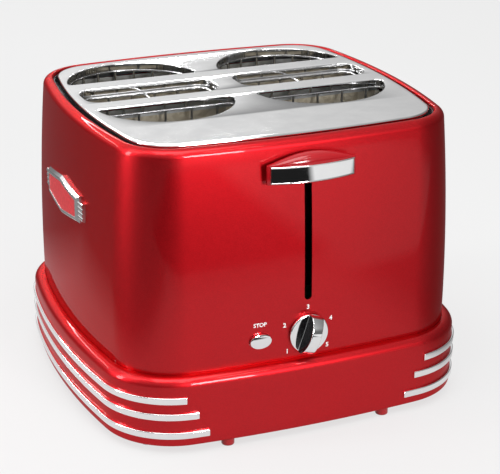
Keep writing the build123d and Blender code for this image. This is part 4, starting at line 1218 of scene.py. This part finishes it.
def make_cord_gland():
    """Moulded gland: flange, ribbed nose and open bore."""
    seat = front_edge(gland_x, skirt_reach(gland_level))
    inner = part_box("cord_gland")[0].y
    flange_end = seat + gland_flange_sheet
    sunk, edge = seat - gland_flange_sunk, gland_flange_round
    profile = [(gland_bore_radius, inner), (gland_sleeve_radius, inner), (gland_sleeve_radius, sunk)]
    profile += [(gland_flange_radius, sunk)]
    profile += arc(gland_flange_radius - edge, flange_end - edge, edge, 0, 90, 5)
    length = gland_nose_end - flange_end
    for n in range(gland_ribs):
        for share, drop in gland_rib_line:
            s = (n + share) / gland_ribs
            r = gland_sleeve_radius + (gland_nose_radius - gland_sleeve_radius) * s - drop
            profile.append((r, flange_end + length * s))
    profile += [(gland_nose_radius, gland_nose_end - gland_nose_round),
                (gland_nose_radius - gland_nose_round, gland_nose_end), (gland_bore_radius, gland_nose_end)]
    place = Matrix(((1, 0, 0, gland_x), (0, 0, 1, 0), (0, -1, 0, gland_level), (0, 0, 0, 1)))
    gland = built("cord_gland_moulding", *turned(profile, 48, place, closed=True), sharp=35)
    dressed(gland, "housing", "black_plastic", "cord_gland")


# Every other node keeps its solid and gets a finish

def dress_nodes():
    slots = {s["node"]: s["material_slot"] for s in frame["record"]["subparts"]}
    for name, node in frame["nodes"].items():
        node.data.materials.clear()
        node.data.materials.append(finishes[slots[name]])


# Floor, light and camera

def pale_floor(f):
    """Mirrors see the floor bright round the toaster, with a dark and a pale card in front."""
    ray = f.node("ShaderNodeLightPath")
    x, y = f.axes(f.place())[:2]
    across = abs(x + near_left) / near_half_width
    along = abs(y + near_front) / near_half_depth
    outward = f.node("ShaderNodeMath", {"operation": "MAXIMUM"}, {0: across, 1: along}).out(0)
    near = f.spread(outward, 1.0, near_fade, 1.0, 0.0)
    not_far = f.spread(y, -card_far, -card_far + card_far_fade)
    right = f.spread(x, card_edge - card_fade, card_edge + card_fade)
    dark_band = f.spread(y, -card_near - card_fade, -card_near, 1.0, 0.0) * not_far
    dark = dark_band * (1 - right) * f.spread(x, -card_end, -card_end + card_far_fade)
    pale_band = f.spread(y, -pale_near - pale_fade, -pale_near, 1.0, 0.0) * not_far
    pale = pale_band * right * f.spread(x, card_end, card_end + card_far_fade, 1.0, 0.0)
    shade = floor_shade * (1 - card_depth * dark)
    seen = (floor_seen - floor_gain * shade) * ray.out("Is Camera Ray")
    mirrored = (floor_mirror_glow * near + pale_card_glow * pale) * ray.out("Is Glossy Ray")
    f.surface({"Base Color": f.grey(shade), "Roughness": 0.6, "Specular IOR Level": 0.0,
               "Emission Color": f.grey(seen + mirrored), "Emission Strength": 1.0})


def make_floor():
    mesh = bpy.data.meshes.new("floor")
    corners = [(-1, -1), (1, -1), (1, 1), (-1, 1)]
    mesh.from_pydata([(x * floor_half_size, y * floor_half_size, 0) for x, y in corners], [], [(0, 1, 2, 3)])
    floor = placed("floor", mesh)
    mesh.materials.append(finished("pale_floor", pale_floor))


def make_world():
    """Pale room; mirrors see it pale behind the toaster and dim in front."""
    world = bpy.data.worlds.new("studio")
    world.use_nodes = True
    bpy.context.scene.world = world
    f = Finish(world.node_tree)
    ray = f.node("ShaderNodeLightPath")
    x, y, z = f.axes(f.node("ShaderNodeTexCoord").out("Generated"))
    back = f.spread(y, *back_from_side) * f.spread(z, *back_from_floor)
    left = f.spread(x, *back_to_right)
    raised = f.spread(z, *high_from_floor) * f.spread(x, *high_to_right)
    front = room_front + (room_high - room_front) * raised
    room = front + (room_back - front) * back * left
    level = f.spread(ray.out("Is Camera Ray"), 0.0, 1.0, room, floor_seen)
    background = f.node("ShaderNodeBackground", None, {"Color": (1.0, 1.0, 1.0, 1), "Strength": level}).out(0)
    f.node("ShaderNodeOutputWorld", None, {"Surface": background})


def make_lights():
    """Soft rectangular lamps round the toaster, aimed at its middle."""
    for name, azimuth, elevation, distance, width, height, power in lamps:
        lamp = bpy.data.lights.new(name, "AREA")
        lamp.shape = "RECTANGLE"
        lamp.size = width
        lamp.size_y = height
        lamp.energy = power
        az, el = radians(azimuth), radians(elevation)
        place = (-sin(az) * cos(el) * distance, -cos(az) * cos(el) * distance, lamp_aim + sin(el) * distance)
        aim = Vector((0.0, 0.0, lamp_aim)) - Vector(place)
        holder = placed(name, lamp)
        holder.location = place
        holder.rotation_euler = aim.to_track_quat("-Z", "Y").to_euler()


def make_camera():
    camera = bpy.data.cameras.new("camera")
    camera.lens = camera_lens
    camera.sensor_width = camera_sensor
    camera.shift_x, camera.shift_y = camera_shift
    holder = placed("camera", camera)
    az, el = radians(camera_azimuth), radians(camera_elevation)
    away = Vector((-sin(az) * cos(el), -cos(az) * cos(el), sin(el)))
    holder.location = Vector(camera_target) + away * camera_distance
    holder.rotation_euler = away.to_track_quat("Z", "Y").to_euler()
    bpy.context.scene.camera = holder


bpy.context.scene.view_settings.view_transform = "Standard"
dress_nodes()
make_body_shell()
make_top_plate()
make_base_skirt()
make_tray_pull()
make_feet()
for side, name in ((-1, "left"), (1, "right")):
    make_trim_strips(side, name)
    make_badge_frame(side, name)
    make_badge_insert(side, name)
    make_cage(side, name)
    for facing, place in ((-1, "front"), (1, "rear")):
        make_bun_guard(side, facing, f"{place}_{name}")
make_lever_handle()
make_lever_face()
make_timer_knob()
make_knob_dark_faces()
make_stop_button()
make_printing()
make_cord_gland()
make_floor()
make_world()
make_lights()
make_camera()
